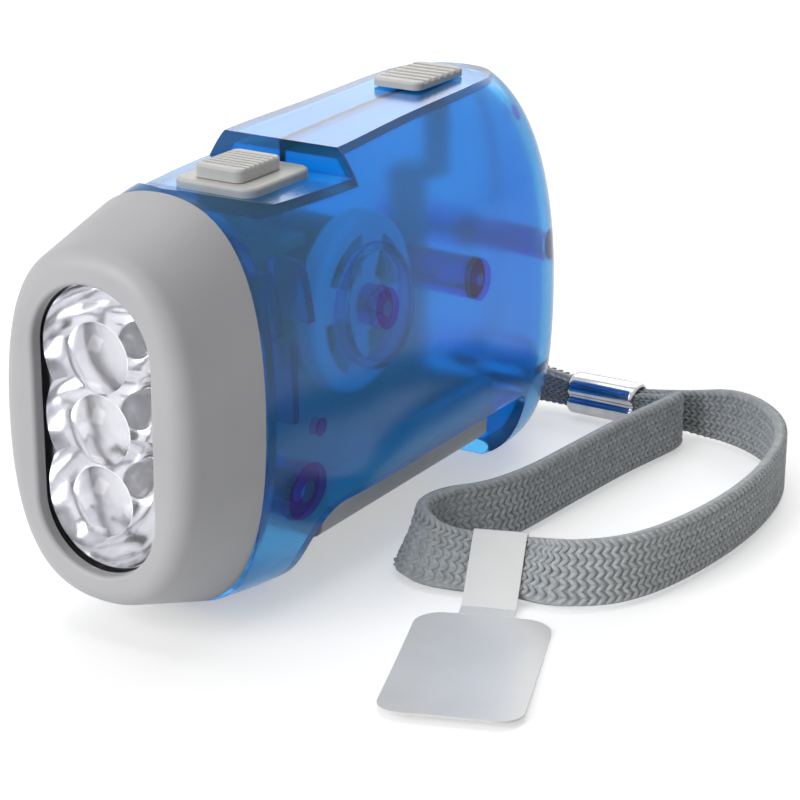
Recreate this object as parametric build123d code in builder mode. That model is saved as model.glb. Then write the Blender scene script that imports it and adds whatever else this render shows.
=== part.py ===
from build123d import *
import math
import os

# A squeeze-lever dynamo torch: grey head with three lamps, two translucent half shells,
# a lever under the body that turns a flywheel through two gears, and a wrist strap.
# X points forward to the lamps, Y to the torch's left and Z up. Millimetres.
# The origin is under the middle of the torch, on the surface that it stands on.

# ---------------------------------------------------------------- driving sizes
front_x = 51.7             # front face of the head
head_depth = 15.4          # head, front face to rear rim
rear_x = -51.7             # rearmost point of the shells
wall = 2.0                 # shell wall
fit_gap = 0.3              # clearance between pieces that only lie side by side
running_gap = 0.05         # radial clearance of an axle in its hole
pin_gap = 0.08             # radial clearance of the lever on its pin

rim_half_width = 16.0      # head, at its rear rim
rim_top = 57.0
rim_bottom = 0.6
head_front_half_width = 14.6
head_front_top = 52.6
head_front_bottom = 6.0
head_wall = 1.8
neck_inset = 2.9           # the shells' neck inside the head, drawn in from the rim outline
neck_wall = 1.2
neck_length = 2.5
head_edge_round = 3.0
head_lip = 0.35            # how far the rim stands proud of the shells
outline_power = 2.5        # roundness of the head outline
upper_power = 2.25         # roundness of the shells' upper half
lower_power = 3.0          # roundness of the shells' lower half

body_half_width = 17.0
crown_cut = 3.3            # how much of the round crown the flat strip cuts away
body_keel = -1.2           # bottom of the section before the flat foot is cut
widest_z = 25.0            # height at which the body is widest
taper_length = 25.0        # over this length the body narrows to the head's rim
nose_length = 15.0         # rounded rear end, seen from above
top_round_length = 26.0    # rounding of the rear end, seen from the side
bottom_round_length = 18.0
round_power = 3.0
strip_rear_z = 59.2        # height of the flat strip at its highest
strip_high_x = -30.0       # where that is
strip_lip = 0.2            # the strip meets the head this far under its rim
strip_fall = 0.9           # and would fall this much further at the lamps
strip_arch = 0.4           # rise of the strip over a straight line

window_half_width = 9.2    # lamp opening
window_straight = 20.4
window_z = 29.1
window_thickness = 1.4
window_rim = 1.4           # how far the window reaches behind the bezel
lens_pitch = 9.65
lens_diameter = 9.4
lens_bulge = 2.2

reflector_depth = 11.0
cup_mouth_radius = 9.4
cup_throat_radius = 2.7
lamp_diameter = 5.0
lamp_length = 7.4
lamp_flange = 5.8
lamp_board_thickness = 1.2

pivot_from_rim = 10.0
pivot_z = 16.0
pivot_pin_diameter = 3.0
pivot_boss_diameter = 8.0
pivot_ear_diameter = 9.0
spring_wire = 0.7          # torsion spring on the lever's pin
spring_turns = 4
spring_pitch = 1.2
spring_rear_leg = 9.0
spring_front_leg = 7.0
pivot_pin_cover = 4.0      # the pin ends this far inside the body's widest face
ear_set_in = 3.6           # the lever's two ears on the pin, inside its cheeks
ear_thickness = 1.8

works_gap = 3.0            # the drive keeps this far from the widest part of the wall
axle_cover = 2.6           # the axles end this far inside the body's widest face
flywheel_from_pivot = 18.8
flywheel_drop = 26.0       # from the crown down to the flywheel's axle
flywheel_diameter = 25.0
flywheel_thickness = 3.0
flywheel_rim = 2.6
spider_turn = 12.0
axle_diameter = 2.0

rack_teeth = 76            # teeth that a full ring of the lever's rack would have
rack_module = 1.0
rack_back = 2.6
rack_thickness = 2.6
rack_first_angle = 133.0
rack_last_angle = 183.0
rack_pinion_teeth = 10
first_wheel_teeth = 22
first_module = 0.8
second_pinion_teeth = 9
second_wheel_teeth = 30
second_module = 0.6
rotor_pinion_teeth = 10
wheel_thickness = 2.0
gear_bore = 1.5
tooth_backlash = 0.16      # of the module, as are the next two
tooth_addendum = 0.85
tooth_dedendum = 1.15
first_axle_angle = 164.0   # where the first gear sits, seen from the lever's pivot

magnet_diameter = 10.0
magnet_set_back = 0.7      # the magnet is shorter than the stator by this at each end
stator_diameter = 21.6
stator_gear_gap = 2.2      # between the rotor's pinion and the stator
stator_sheet = 1.2
coil_inner_diameter = 14.8
coil_outer_diameter = 18.4
bobbin_wall = 0.7
claw_width = 2.0
stator_posts = [(2.3, 9.1), (9.3, 2.0)]  # its posts, forward and up from the flywheel's axle

lever_wall = 2.0
lever_bottom_z = 5.0
lever_from_pivot = 9.0     # the channel starts this far behind the pin
lever_cheek_top = 15.0
catch_from_lock = 3.0      # the catch's face ahead of the lock's middle
catch_nose = 2.6           # its nose sticks out rearwards, over the lock's foot
catch_lip = 1.4            # and is this thick
catch_width = 5.0
catch_thickness = 2.4
catch_drop = 12.2          # from the strip down to the catch

bay_from_pivot = 2.5       # the gap in the shells' underside that the lever fills
bay_from_rear = 18.0
bay_gap = 2.0              # between the gap's rear and the lever
bay_top_z = 11.6
bay_front_round = 7.0
bay_rear_round = 2.0

saddle_depth = 2.5         # scooped seat of the light switch
saddle_length = 17.0
saddle_from_rim = 10.5
saddle_ramp = 9.5
saddle_ramp_round = 6.0
plate_length = 15.0
plate_width = 13.0
plate_thickness = 1.3
plate_from_saddle = 8.9
button_length = 10.0
button_width = 7.6
button_rise = 3.2          # from the saddle's floor to the button's top
button_from_plate = 1.0
button_travel = 3.0
button_ribs = 7
button_stem_width = 2.6
button_stem_length = 3.6

lock_x = -27.7
lock_length = 13.4
lock_width = 8.2
lock_height = 1.2
lock_ribs = 6
lock_travel = 3.0
lock_stem_length = 2.6
lock_stem_width = 3.0
lock_foot_thickness = 1.4  # foot of the lock's stem, which goes under the catch's nose
rib_depth = 0.45

board_from_rim = 3.0
board_length = 17.4
board_set_in = 8.6         # from the body's widest face to the board's edge
board_thickness = 1.2
switch_length = 8.6
switch_width = 4.4
switch_height = 3.2
switch_headroom = 1.5      # between the switch and the wall over it
cell_diameter = 11.6
cell_thickness = 5.4
cell_count = 3
cell_from_rim = 8.4
cell_z = 31.0

boss_diameter = 6.0
boss_extra = 2.0           # the right shell's screw bosses are this much wider, round the screw heads
screw_hole_diameter = 2.1
rear_screw_x = -17.7
rear_screw_z = 34.0
end_screw_from_rear = 10.4
end_screw_z = 33.0
end_boss_diameter = 4.6
screw_diameter = 2.0
screw_head_diameter = 4.2
screw_length = 13.0
screw_seat_depth = 6.0     # from the right shell's widest face to the seat of the screw heads

strap_pin_from_rear = 5.8
strap_pin_diameter = 2.0
strap_pin_bottom = 0.8
strap_pin_top = 14.4
strap_slot_bottom = 2.6
strap_slot_top = 12.6
strap_slot_half_width = 2.6
strap_width = 9.6
strap_thickness = 1.7
strap_floor_gap = 0.6
stem_width = 7.0
crimp_from_rear = 5.7
crimp_start_y = 12.0
crimp_end_y = 24.0
crimp_diameter = 6.6
tag_x = 8.7
tag_y = 34.0
tag_angle = 20.5
tag_length = 32.0
tag_width = 18.4
tag_neck_length = 9.6
tag_neck_width = 7.4
tag_floor_gap = 0.05
tag_thickness = 0.4
tag_corner = 3.6

far_x = 60.0               # past both ends of the torch, for cuts that go right through
far_z = max(strip_rear_z, rim_top) + 11
rim_x = front_x - head_depth
taper_start_x = rim_x - taper_length
strip_front_z = rim_top - strip_lip
body_crown = strip_rear_z + crown_cut
pivot_x = rim_x - pivot_from_rim
bay_front_x = pivot_x - bay_from_pivot
bay_rear_x = rear_x + bay_from_rear
lever_front_x = pivot_x - lever_from_pivot
lever_rear_x = bay_rear_x + bay_gap
catch_x = lock_x + catch_from_lock
catch_top_z = strip_rear_z - catch_drop
nose_tip_x = catch_x - catch_nose
# as the lever opens, the nose drops past the lock's foot and swings rearwards
nose_drop = catch_lip + fit_gap + lock_foot_thickness
nose_swing = nose_drop * (catch_top_z - pivot_z) / (pivot_x - nose_tip_x)
lock_foot_x = nose_tip_x - nose_swing - fit_gap
lock_stem_front_x = nose_tip_x - lock_travel - fit_gap
lock_stem_rear_x = lock_stem_front_x - lock_stem_length
flywheel_x = pivot_x - flywheel_from_pivot
flywheel_z = body_crown - flywheel_drop
strap_pin_x = rear_x + strap_pin_from_rear
end_screw_x = rear_x + end_screw_from_rear
crimp_x = rear_x - crimp_from_rear

works_half_width = body_half_width - wall - works_gap
lever_half_width = works_half_width
ear_half_width = lever_half_width - ear_set_in
pivot_pin_reach = body_half_width - pivot_pin_cover
axle_reach = body_half_width - axle_cover
screw_seat_y = screw_seat_depth - body_half_width
board_half_width = body_half_width - board_set_in
rack_right_y = -works_half_width
flywheel_left_y = works_half_width
flywheel_right_y = flywheel_left_y - flywheel_thickness

saddle_floor_z = strip_front_z - saddle_depth
saddle_front_x = rim_x - saddle_from_rim
saddle_rear_x = saddle_front_x - saddle_length
plate_x = saddle_rear_x + plate_from_saddle
button_x = plate_x + button_from_plate
button_top_z = saddle_floor_z + button_rise
saddle_wall_z = saddle_floor_z - wall
switch_top_z = saddle_wall_z - switch_headroom
board_top_z = switch_top_z - switch_height
board_z = board_top_z - board_thickness
board_front_x = rim_x - board_from_rim
board_rear_x = board_front_x - board_length
cell_x = rim_x - cell_from_rim
cell_stack = cell_count * cell_thickness


# ---------------------------------------------------------------- shared shapes
def rounded_outline(half_width, top, bottom, middle, over_power, under_power):
    """Control points of an egg-like section's four curves. A higher power is a squarer corner."""
    curves = []
    for side, end, power in ((1, top, over_power), (-1, top, over_power), (-1, bottom, under_power),
                             (1, bottom, under_power)):
        reach = (8 * 0.5 ** (1 / power) - 4) / 3
        widest = (side * half_width, middle)
        widest_lead = (side * half_width, middle + reach * (end - middle))
        end_lead = (side * half_width * reach, end)
        curve = [widest, widest_lead, end_lead, (0, end)]
        curves.append(curve if side * (end - middle) > 0 else curve[::-1])
    return curves


def quarter(distance, length, power):
    """Falls from 1 to 0 like the quarter of a rounded square while distance goes from 0 to length."""
    share = min(max(distance / length, 0), 1)
    return (1 - share**power) ** (1 / power)


def shell_section(x, inset):
    """The shells' section at x, drawn in by inset: width, crown, keel, widest height and upper power."""
    front_share = min(max((x - taper_start_x) / (rim_x - taper_start_x), 0), 1)
    half_width = body_half_width + (rim_half_width - head_lip - body_half_width) * front_share
    crown = body_crown + (rim_top - head_lip - body_crown) * front_share
    keel = body_keel + (rim_bottom + head_lip - body_keel) * front_share**2
    middle = widest_z + ((rim_top + rim_bottom) / 2 - widest_z) * front_share
    power = upper_power + (outline_power - upper_power) * front_share
    half_width = (half_width - inset) * quarter(rear_x + nose_length - x, nose_length - inset, 2)
    up = quarter(rear_x + top_round_length - x, top_round_length - inset, round_power)
    down = quarter(rear_x + bottom_round_length - x, bottom_round_length - inset, round_power)
    top = middle + (crown - inset - middle) * up
    bottom = middle - (middle - keel - inset) * down
    return half_width, top, bottom, middle, power


def shell_form(inset):
    """The closed form of the body, or of its hollow when it is drawn in by inset."""
    nose_start = rear_x + nose_length
    stations = [rim_x + (1 if inset else 0), rim_x - 0.28 * taper_length, rim_x - 0.64 * taper_length,
                taper_start_x, taper_start_x - 16, taper_start_x - 32, nose_start + 4]
    for degrees_in in (14, 30, 45, 58, 69, 78, 84.5):
        stations.append(nose_start - (nose_length - inset) * math.sin(math.radians(degrees_in)))
    with BuildPart() as form:
        for x in stations:
            half_width, top, bottom, middle, power = shell_section(x, inset)
            with BuildSketch(Plane.YZ.offset(x)):
                with BuildLine():
                    for curve in rounded_outline(half_width, top, bottom, middle, power, lower_power):
                        Bezier(*curve)
                make_face()
        loft()
    return form.part


def tooth_half_angle(radius, teeth, module, slack):
    """Half the angle that an involute tooth takes at a radius. Slack is of the module."""
    pitch_radius = teeth * module / 2
    base_radius = pitch_radius * math.cos(math.radians(20))
    roll = math.acos(min(base_radius / radius, 1))
    tilt = math.tan(math.radians(20)) - math.radians(20)
    return (math.pi / 2 - slack) / teeth + tilt - (math.tan(roll) - roll)


def tooth_outline(teeth, module, slack, addendum, dedendum):
    """One tooth on the +X axis, anticlockwise over its tip from root to root."""
    pitch_radius = teeth * module / 2
    base_radius = pitch_radius * math.cos(math.radians(20))
    root_radius = pitch_radius - dedendum * module
    tip_radius = pitch_radius + addendum * module
    radii = [root_radius, pitch_radius, (pitch_radius + tip_radius) / 2, tip_radius]
    if base_radius > root_radius:
        radii.insert(1, base_radius)
    flank = []
    for radius in radii:
        angle = tooth_half_angle(max(radius, base_radius), teeth, module, slack)
        flank.append((radius * math.cos(angle), -radius * math.sin(angle)))
    return flank + [(x, -y) for x, y in reversed(flank)]


def turned(points, degrees_round):
    """The points turned round the origin."""
    ahead, aside = math.cos(math.radians(degrees_round)), math.sin(math.radians(degrees_round))
    return [(x * ahead - y * aside, x * aside + y * ahead) for x, y in points]


def spur_gear(teeth, module, phase):
    """The closed outline of a spur gear with a tooth at the angle phase, in degrees."""
    tooth = tooth_outline(teeth, module, tooth_backlash, tooth_addendum, tooth_dedendum)
    outline = []
    for place in range(teeth):
        outline += turned(tooth, phase + 360 * place / teeth)
    return outline


def gear_plane(x, z, y):
    """Plane across an axle at (x, z), its face at y, looking to the torch's right."""
    return Plane(origin=(x, y, z), x_dir=(1, 0, 0), z_dir=(0, -1, 0))


def save(part, name):
    part.label = name
    export_step(part, f"parts/{name}.step")


os.makedirs("parts", exist_ok=True)


# ---------------------------------------------------------------- places worked out from the sizes
def rack_point(radius, degrees_round):
    """A point at a distance and an angle from the lever's pivot, seen from the torch's right."""
    angle = math.radians(degrees_round)
    return pivot_x + radius * math.cos(angle), pivot_z + radius * math.sin(angle)


def lower_mesh_point(x1, z1, reach1, x2, z2, reach2):
    """The lower of the two points at reach1 from the first centre and reach2 from the second."""
    apart = math.hypot(x2 - x1, z2 - z1)
    along = (reach1**2 - reach2**2 + apart**2) / (2 * apart)
    aside = math.sqrt(reach1**2 - along**2)
    ux, uz = (x2 - x1) / apart, (z2 - z1) / apart
    return x1 + along * ux + aside * uz, z1 + along * uz - aside * ux


def direction(x1, z1, x2, z2):
    return math.degrees(math.atan2(z2 - z1, x2 - x1))


rack_pitch_radius = rack_teeth * rack_module / 2
rack_outer_radius = rack_pitch_radius + 1.25 * rack_module + rack_back
first_reach = (rack_teeth - rack_pinion_teeth) * rack_module / 2
first_x, first_z = rack_point(first_reach, first_axle_angle)
second_reach = (first_wheel_teeth + second_pinion_teeth) * first_module / 2
rotor_reach = (second_wheel_teeth + rotor_pinion_teeth) * second_module / 2
second_x, second_z = lower_mesh_point(first_x, first_z, second_reach, flywheel_x, flywheel_z, rotor_reach)
first_to_second = direction(first_x, first_z, second_x, second_z)
second_to_rotor = direction(second_x, second_z, flywheel_x, flywheel_z)

rack_left_y = rack_right_y + rack_thickness
first_pinion_right_y = rack_right_y - fit_gap
first_wheel_right_y = rack_left_y + fit_gap
first_wheel_left_y = first_wheel_right_y + wheel_thickness
second_pinion_right_y = first_wheel_right_y
second_wheel_right_y = first_wheel_left_y + 2 * fit_gap
second_wheel_left_y = second_wheel_right_y + wheel_thickness
rotor_pinion_right_y = second_wheel_right_y - fit_gap
rotor_pinion_left_y = second_wheel_left_y + fit_gap
stator_left_y = flywheel_right_y - 2 * fit_gap
stator_right_y = rotor_pinion_left_y + stator_gear_gap
stator_length = stator_left_y - stator_right_y
magnet_right_y = stator_right_y + magnet_set_back
magnet_length = stator_length - 2 * magnet_set_back

plate_top_z = saddle_floor_z + plate_thickness
lock_base_z = strip_rear_z + 0.15
window_back_x = front_x - head_wall - window_thickness
window_front_x = front_x - head_wall
reflector_front_x = window_back_x
reflector_back_x = reflector_front_x - reflector_depth
lamp_board_front_x = reflector_back_x - 1.2


def body_band(lower, upper_drop):
    """The space between a flat floor and the gently arched top line, as wide as the torch."""
    with BuildPart() as band:
        with BuildSketch(Plane.XZ):
            with BuildLine():
                front_z = strip_front_z - strip_fall
                middle_z = (front_z + strip_rear_z) / 2 + strip_arch
                top = ThreePointArc((far_x, front_z - upper_drop),
                                    ((far_x + strip_high_x) / 2, middle_z - upper_drop),
                                    (strip_high_x, strip_rear_z - upper_drop))
                rear = Line(top @ 1, (-far_x, strip_rear_z - strip_arch - upper_drop))
                side = Line(rear @ 1, (-far_x, lower))
                floor = Line(side @ 1, (far_x, lower))
                Line(floor @ 1, top @ 0)
            make_face()
        extrude(amount=30, both=True)
    return band.part


def saddle_block(drop):
    """What the scooped seat of the light switch takes away. Drop makes the hollow stay under it."""
    ramp_foot = saddle_front_x + drop
    with BuildPart() as block:
        with BuildSketch(Plane.XZ):
            with BuildLine():
                Polyline((saddle_rear_x - drop, far_z), (saddle_rear_x - drop, saddle_floor_z - drop),
                         (ramp_foot, saddle_floor_z - drop),
                         (ramp_foot + saddle_ramp, strip_front_z + 0.6 - drop),
                         (ramp_foot + saddle_ramp, far_z), close=True)
            make_face()
        extrude(amount=30, both=True)
        fillet(block.edges().filter_by(Axis.Y).group_by(Axis.Z)[0].sort_by(Axis.X)[-1], saddle_ramp_round)
    return block.part


def bay_block():
    """The gap in the underside that the lever fills, with a soft front corner."""
    with BuildPart() as block:
        with BuildSketch(Plane.XZ):
            with BuildLine():
                Polyline((bay_rear_x, -5), (bay_rear_x, bay_top_z), (bay_front_x, bay_top_z),
                         (bay_front_x, -5), close=True)
            make_face()
        extrude(amount=30, both=True)
        top_edges = block.edges().filter_by(Axis.Y).group_by(Axis.Z)[-1]
        fillet(top_edges.sort_by(Axis.X)[0], bay_rear_round)
        fillet(block.edges().filter_by(Axis.Y).group_by(Axis.Z)[-1].sort_by(Axis.X)[-1], bay_front_round)
    return block.part


def across(x, z, diameter, y_from, y_to):
    """A round post or hole along Y between two heights of Y."""
    with BuildPart() as post:
        with BuildSketch(gear_plane(x, z, max(y_from, y_to))):
            Circle(diameter / 2)
        extrude(amount=abs(y_to - y_from))
    return post.part


def upright_box(x_from, x_to, y_from, y_to, z_from, z_to):
    """A plain box between two corners."""
    with BuildPart() as box:
        with BuildSketch(Plane.XY.offset(z_from)):
            with Locations(((x_from + x_to) / 2, (y_from + y_to) / 2)):
                Rectangle(abs(x_to - x_from), abs(y_to - y_from))
        extrude(amount=z_to - z_from)
    return box.part


def ring_block(x, length, outer_inset, inner_inset):
    """A ring that follows the head's rim outline."""
    with BuildPart() as ring:
        with BuildSketch(Plane.YZ.offset(x)):
            for inset, mode in ((outer_inset, Mode.ADD), (inner_inset, Mode.SUBTRACT)):
                outline = rounded_outline(rim_half_width - inset, rim_top - inset, rim_bottom + inset,
                                          (rim_top + rim_bottom) / 2, outline_power, outline_power)
                with BuildLine():
                    for curve in outline:
                        Bezier(*curve)
                make_face(mode=mode)
        extrude(amount=length)
    return ring.part


# ---------------------------------------------------------------- the two half shells
hollow = shell_form(wall) & body_band(wall, wall)
hollow = hollow - saddle_block(wall)
hollow = hollow - upright_box(bay_rear_x - wall, bay_rear_x, -30, 30, -5, bay_top_z)
hollow_room = shell_form(wall * 0.8) & body_band(wall * 0.8, wall * 0.8)
hollow_room = hollow_room - saddle_block(wall * 0.8)

strap_shelf_z = strap_slot_top + 0.6
shell_slots = [
    (button_x - button_stem_length / 2 - button_travel - fit_gap,
     button_x + button_stem_length / 2 + fit_gap,
     button_stem_width / 2 + fit_gap, saddle_wall_z - 1, saddle_floor_z + 1),
    (lock_stem_rear_x - fit_gap, lock_stem_front_x + lock_travel + fit_gap,
     lock_stem_width / 2 + fit_gap, strip_rear_z - wall - 1, strip_rear_z + 1),
    (rear_x - 2, strap_pin_x, strap_slot_half_width, strap_slot_bottom, strap_slot_top),
]
screws = [(rear_screw_x, rear_screw_z, boss_diameter), (end_screw_x, end_screw_z, end_boss_diameter)]
board_rib_x = [board_front_x - 10, board_front_x - 3]


def both_shells():
    """The two half shells in one piece, before they are parted and get their inner ribs."""
    with BuildPart() as blank:
        add(shell_form(0) & body_band(0, 0))
        add(saddle_block(0), mode=Mode.SUBTRACT)
        add(bay_block(), mode=Mode.SUBTRACT)
        add(hollow, mode=Mode.SUBTRACT)
        # neck that goes into the head, on a flange inside the wall
        add(ring_block(rim_x - 4, 4, head_lip + 0.8 * wall, neck_inset + neck_wall))
        add(ring_block(rim_x - 1, 1 + neck_length, neck_inset, neck_inset + neck_wall))
    return blank.part


shell_blank = both_shells()


def half_shell(side):
    """One half shell: side is 1 for the left one and -1 for the right one."""
    far = 30 * side
    with BuildPart() as shell:
        add(shell_blank & upright_box(-far_x, far_x, 0, far, -5, far_z))
        # bosses for the screws, the lever's pin and the axles
        boss_growth = 0 if side > 0 else boss_extra
        posts = [across(x, z, size + boss_growth, 0, far) for x, z, size in screws]
        posts.append(across(pivot_x, pivot_z, pivot_boss_diameter, (ear_half_width + fit_gap) * side, far))
        if side > 0:
            posts.append(across(flywheel_x, flywheel_z, 5.7, flywheel_left_y + fit_gap, far))
            ring = across(flywheel_x, flywheel_z, 17, flywheel_left_y + fit_gap, far)
            posts.append(ring - across(flywheel_x, flywheel_z, 15, 0, far))
        else:
            posts.append(across(flywheel_x, flywheel_z, 5, rotor_pinion_right_y - fit_gap, far))
            posts.append(across(first_x, first_z, 5, first_pinion_right_y - fit_gap, far))
            posts.append(across(second_x, second_z, 5, second_pinion_right_y - fit_gap, far))
            for x, z in stator_posts:
                posts.append(across(flywheel_x + x, flywheel_z + z, 3, stator_right_y, far))
        # ribs that carry the circuit board and the cells, and the shelf over the strap's pin
        for x in board_rib_x:
            posts.append(upright_box(x - 0.7, x + 0.7, (board_half_width - 0.8) * side, far,
                                     board_z - 8, board_z))
        posts.append(upright_box(cell_x - 0.6, cell_x + 0.6, (cell_stack / 2 + fit_gap) * side, far,
                                 cell_z - 5, cell_z + 6))
        posts.append(upright_box(rear_x, bay_rear_x - wall, 0, far, strap_shelf_z, strap_shelf_z + 1.6))
        with BuildPart(mode=Mode.PRIVATE) as inner:
            add(posts)
            add(hollow_room, mode=Mode.INTERSECT)
        add(inner.part)
        holes = []
        for x, z, size in screws:
            if side > 0:
                holes.append(across(x, z, screw_diameter - 0.3, -1, 9))
            else:
                holes.append(across(x, z, screw_hole_diameter, 1, far))
                holes.append(across(x, z, screw_head_diameter + 0.4, screw_seat_y, far))
        holes.append(across(pivot_x, pivot_z, pivot_pin_diameter, 0, (pivot_pin_reach + 0.1) * side))
        holes.append(across(flywheel_x, flywheel_z, axle_diameter + 2 * running_gap, 0,
                            (axle_reach + 0.2) * side))
        if side < 0:
            holes.append(across(first_x, first_z, gear_bore, 0, -axle_reach))
            holes.append(across(second_x, second_z, gear_bore, 0, -axle_reach))
        for x_from, x_to, half_width, z_from, z_to in shell_slots:
            holes.append(upright_box(x_from, x_to, -half_width, half_width, z_from, z_to))
        with BuildPart(mode=Mode.PRIVATE) as pin_hole:
            with BuildSketch(Plane.XY.offset(strap_pin_bottom)):
                with Locations((strap_pin_x, 0)):
                    Circle(strap_pin_diameter / 2)
            extrude(amount=strap_pin_top - strap_pin_bottom)
        holes.append(pin_hole.part)
        add(holes, mode=Mode.SUBTRACT)
    return shell.part


shell_left = half_shell(1)
save(shell_left, "shell_left")
shell_right = half_shell(-1)
save(shell_right, "shell_right")

# ---------------------------------------------------------------- head: bezel, window, reflector, lamps


def stadium_block(half_width, x, length):
    """A round-ended block that stands upright, from x forward."""
    with BuildPart() as block:
        with BuildSketch(Plane.YZ.offset(x)):
            with Locations((0, window_z)):
                SlotCenterToCenter(window_straight, 2 * half_width, rotation=90)
        extrude(amount=length)
    return block.part


def head_form(inset, x_front):
    """The head's form, drawn in by inset, from the rim to x_front."""
    with BuildPart() as form:
        for x, half_width, top, bottom in (
                (rim_x, rim_half_width, rim_top, rim_bottom),
                (x_front, head_front_half_width, head_front_top, head_front_bottom)):
            with BuildSketch(Plane.YZ.offset(x)):
                with BuildLine():
                    for curve in rounded_outline(half_width - inset, top - inset, bottom + inset,
                                                 (top + bottom) / 2, outline_power, outline_power):
                        Bezier(*curve)
                make_face()
        loft()
    return form.part


head_outer = head_form(0, front_x)
head_inner = head_form(head_wall, front_x)
seat_x = front_x - head_wall - 4.5
stadium_ring = (stadium_block(window_half_width + window_rim + 1.4, seat_x, 4.7)
                - stadium_block(window_half_width + window_rim + 0.1, seat_x, 4.5))
with BuildPart() as head_bezel:
    add(head_outer)
    fillet(head_bezel.faces().sort_by(Axis.X)[-1].edges(), head_edge_round)
    add(head_inner & upright_box(rim_x - 1, front_x - head_wall, -30, 30, -5, far_z), mode=Mode.SUBTRACT)
    # ring that holds the window and the reflector
    add(stadium_ring)
    add(stadium_block(window_half_width, front_x - 3, 4), mode=Mode.SUBTRACT)
    mouth = head_bezel.faces().filter_by(Axis.X).sort_by(Axis.X)[-1].inner_wires()[0].edges()
    fillet(mouth, 0.6)
save(head_bezel.part, "head_bezel")

lamp_heights = [window_z + lens_pitch, window_z, window_z - lens_pitch]
with BuildPart() as lens_window:
    add(stadium_block(window_half_width + window_rim, window_back_x, window_thickness))
    for z in lamp_heights:
        with BuildSketch(Plane.XZ):
            with BuildLine():
                foot = Line((window_front_x - 0.2, z), (window_front_x - 0.2, z + lens_diameter / 2))
                edge = Line(foot @ 1, (window_front_x + 0.15, z + lens_diameter / 2))
                dome = TangentArc((window_front_x + 0.15 + lens_bulge, z), edge @ 1, tangent=(0, 1))
                Line(dome @ 0, foot @ 0)
            make_face()
        revolve(axis=Axis((0, 0, z), (1, 0, 0)))
save(lens_window.part, "lens_window")

bowl_radius = (cup_mouth_radius + cup_throat_radius) / 2 + 0.6
with BuildPart() as reflector:
    add(stadium_block(window_half_width + 0.6, reflector_back_x, reflector_depth))
    add(stadium_block(window_half_width + window_rim, reflector_front_x - 1.2, 1.2))
    for z in lamp_heights:
        with BuildSketch(Plane.XZ):
            with BuildLine():
                axis_line = Line((reflector_back_x + 0.8, z), (reflector_front_x + 0.01, z))
                mouth_line = Line(axis_line @ 1, (reflector_front_x + 0.01, z + cup_mouth_radius))
                bowl = ThreePointArc(mouth_line @ 1, (reflector_back_x + 4.0, z + bowl_radius),
                                     (reflector_back_x + 0.8, z + cup_throat_radius + 0.4))
                Line(bowl @ 1, axis_line @ 0)
            make_face()
        revolve(axis=Axis((0, 0, z), (1, 0, 0)), mode=Mode.SUBTRACT)
    with BuildSketch(Plane.YZ.offset(reflector_back_x - 1)):
        with Locations(*[(0, z) for z in lamp_heights]):
            Circle(lamp_diameter / 2 + 0.15)
    extrude(amount=3, mode=Mode.SUBTRACT)
save(reflector.part, "reflector")


def lamp(z, name):
    """One lamp: a flanged round body with a domed end."""
    radius = lamp_diameter / 2
    with BuildPart() as bulb:
        with BuildSketch(Plane.XZ):
            with BuildLine():
                back = Line((lamp_board_front_x, z), (lamp_board_front_x, z + lamp_flange / 2))
                rim = Line(back @ 1, (lamp_board_front_x + 1, z + lamp_flange / 2))
                shoulder = Line(rim @ 1, (lamp_board_front_x + 1, z + radius))
                barrel = Line(shoulder @ 1, (lamp_board_front_x + lamp_length - radius, z + radius))
                dome = TangentArc(barrel @ 1, (lamp_board_front_x + lamp_length, z), tangent=(1, 0))
                Line(dome @ 1, back @ 0)
            make_face()
        revolve(axis=Axis((0, 0, z), (1, 0, 0)))
    save(bulb.part, name)
    return bulb.part


lamps = [lamp(z, name) for z, name in zip(lamp_heights, ("lamp_top", "lamp_middle", "lamp_bottom"))]

with BuildPart() as lamp_board:
    with BuildSketch(Plane.YZ.offset(lamp_board_front_x - lamp_board_thickness)):
        with Locations((0, window_z)):
            RectangleRounded(13, 2 * lens_pitch + 10, 2)
    extrude(amount=lamp_board_thickness)
save(lamp_board.part, "lamp_board")

# ---------------------------------------------------------------- squeeze lever with its rack and catch
floor_z = lever_bottom_z + lever_wall


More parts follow.
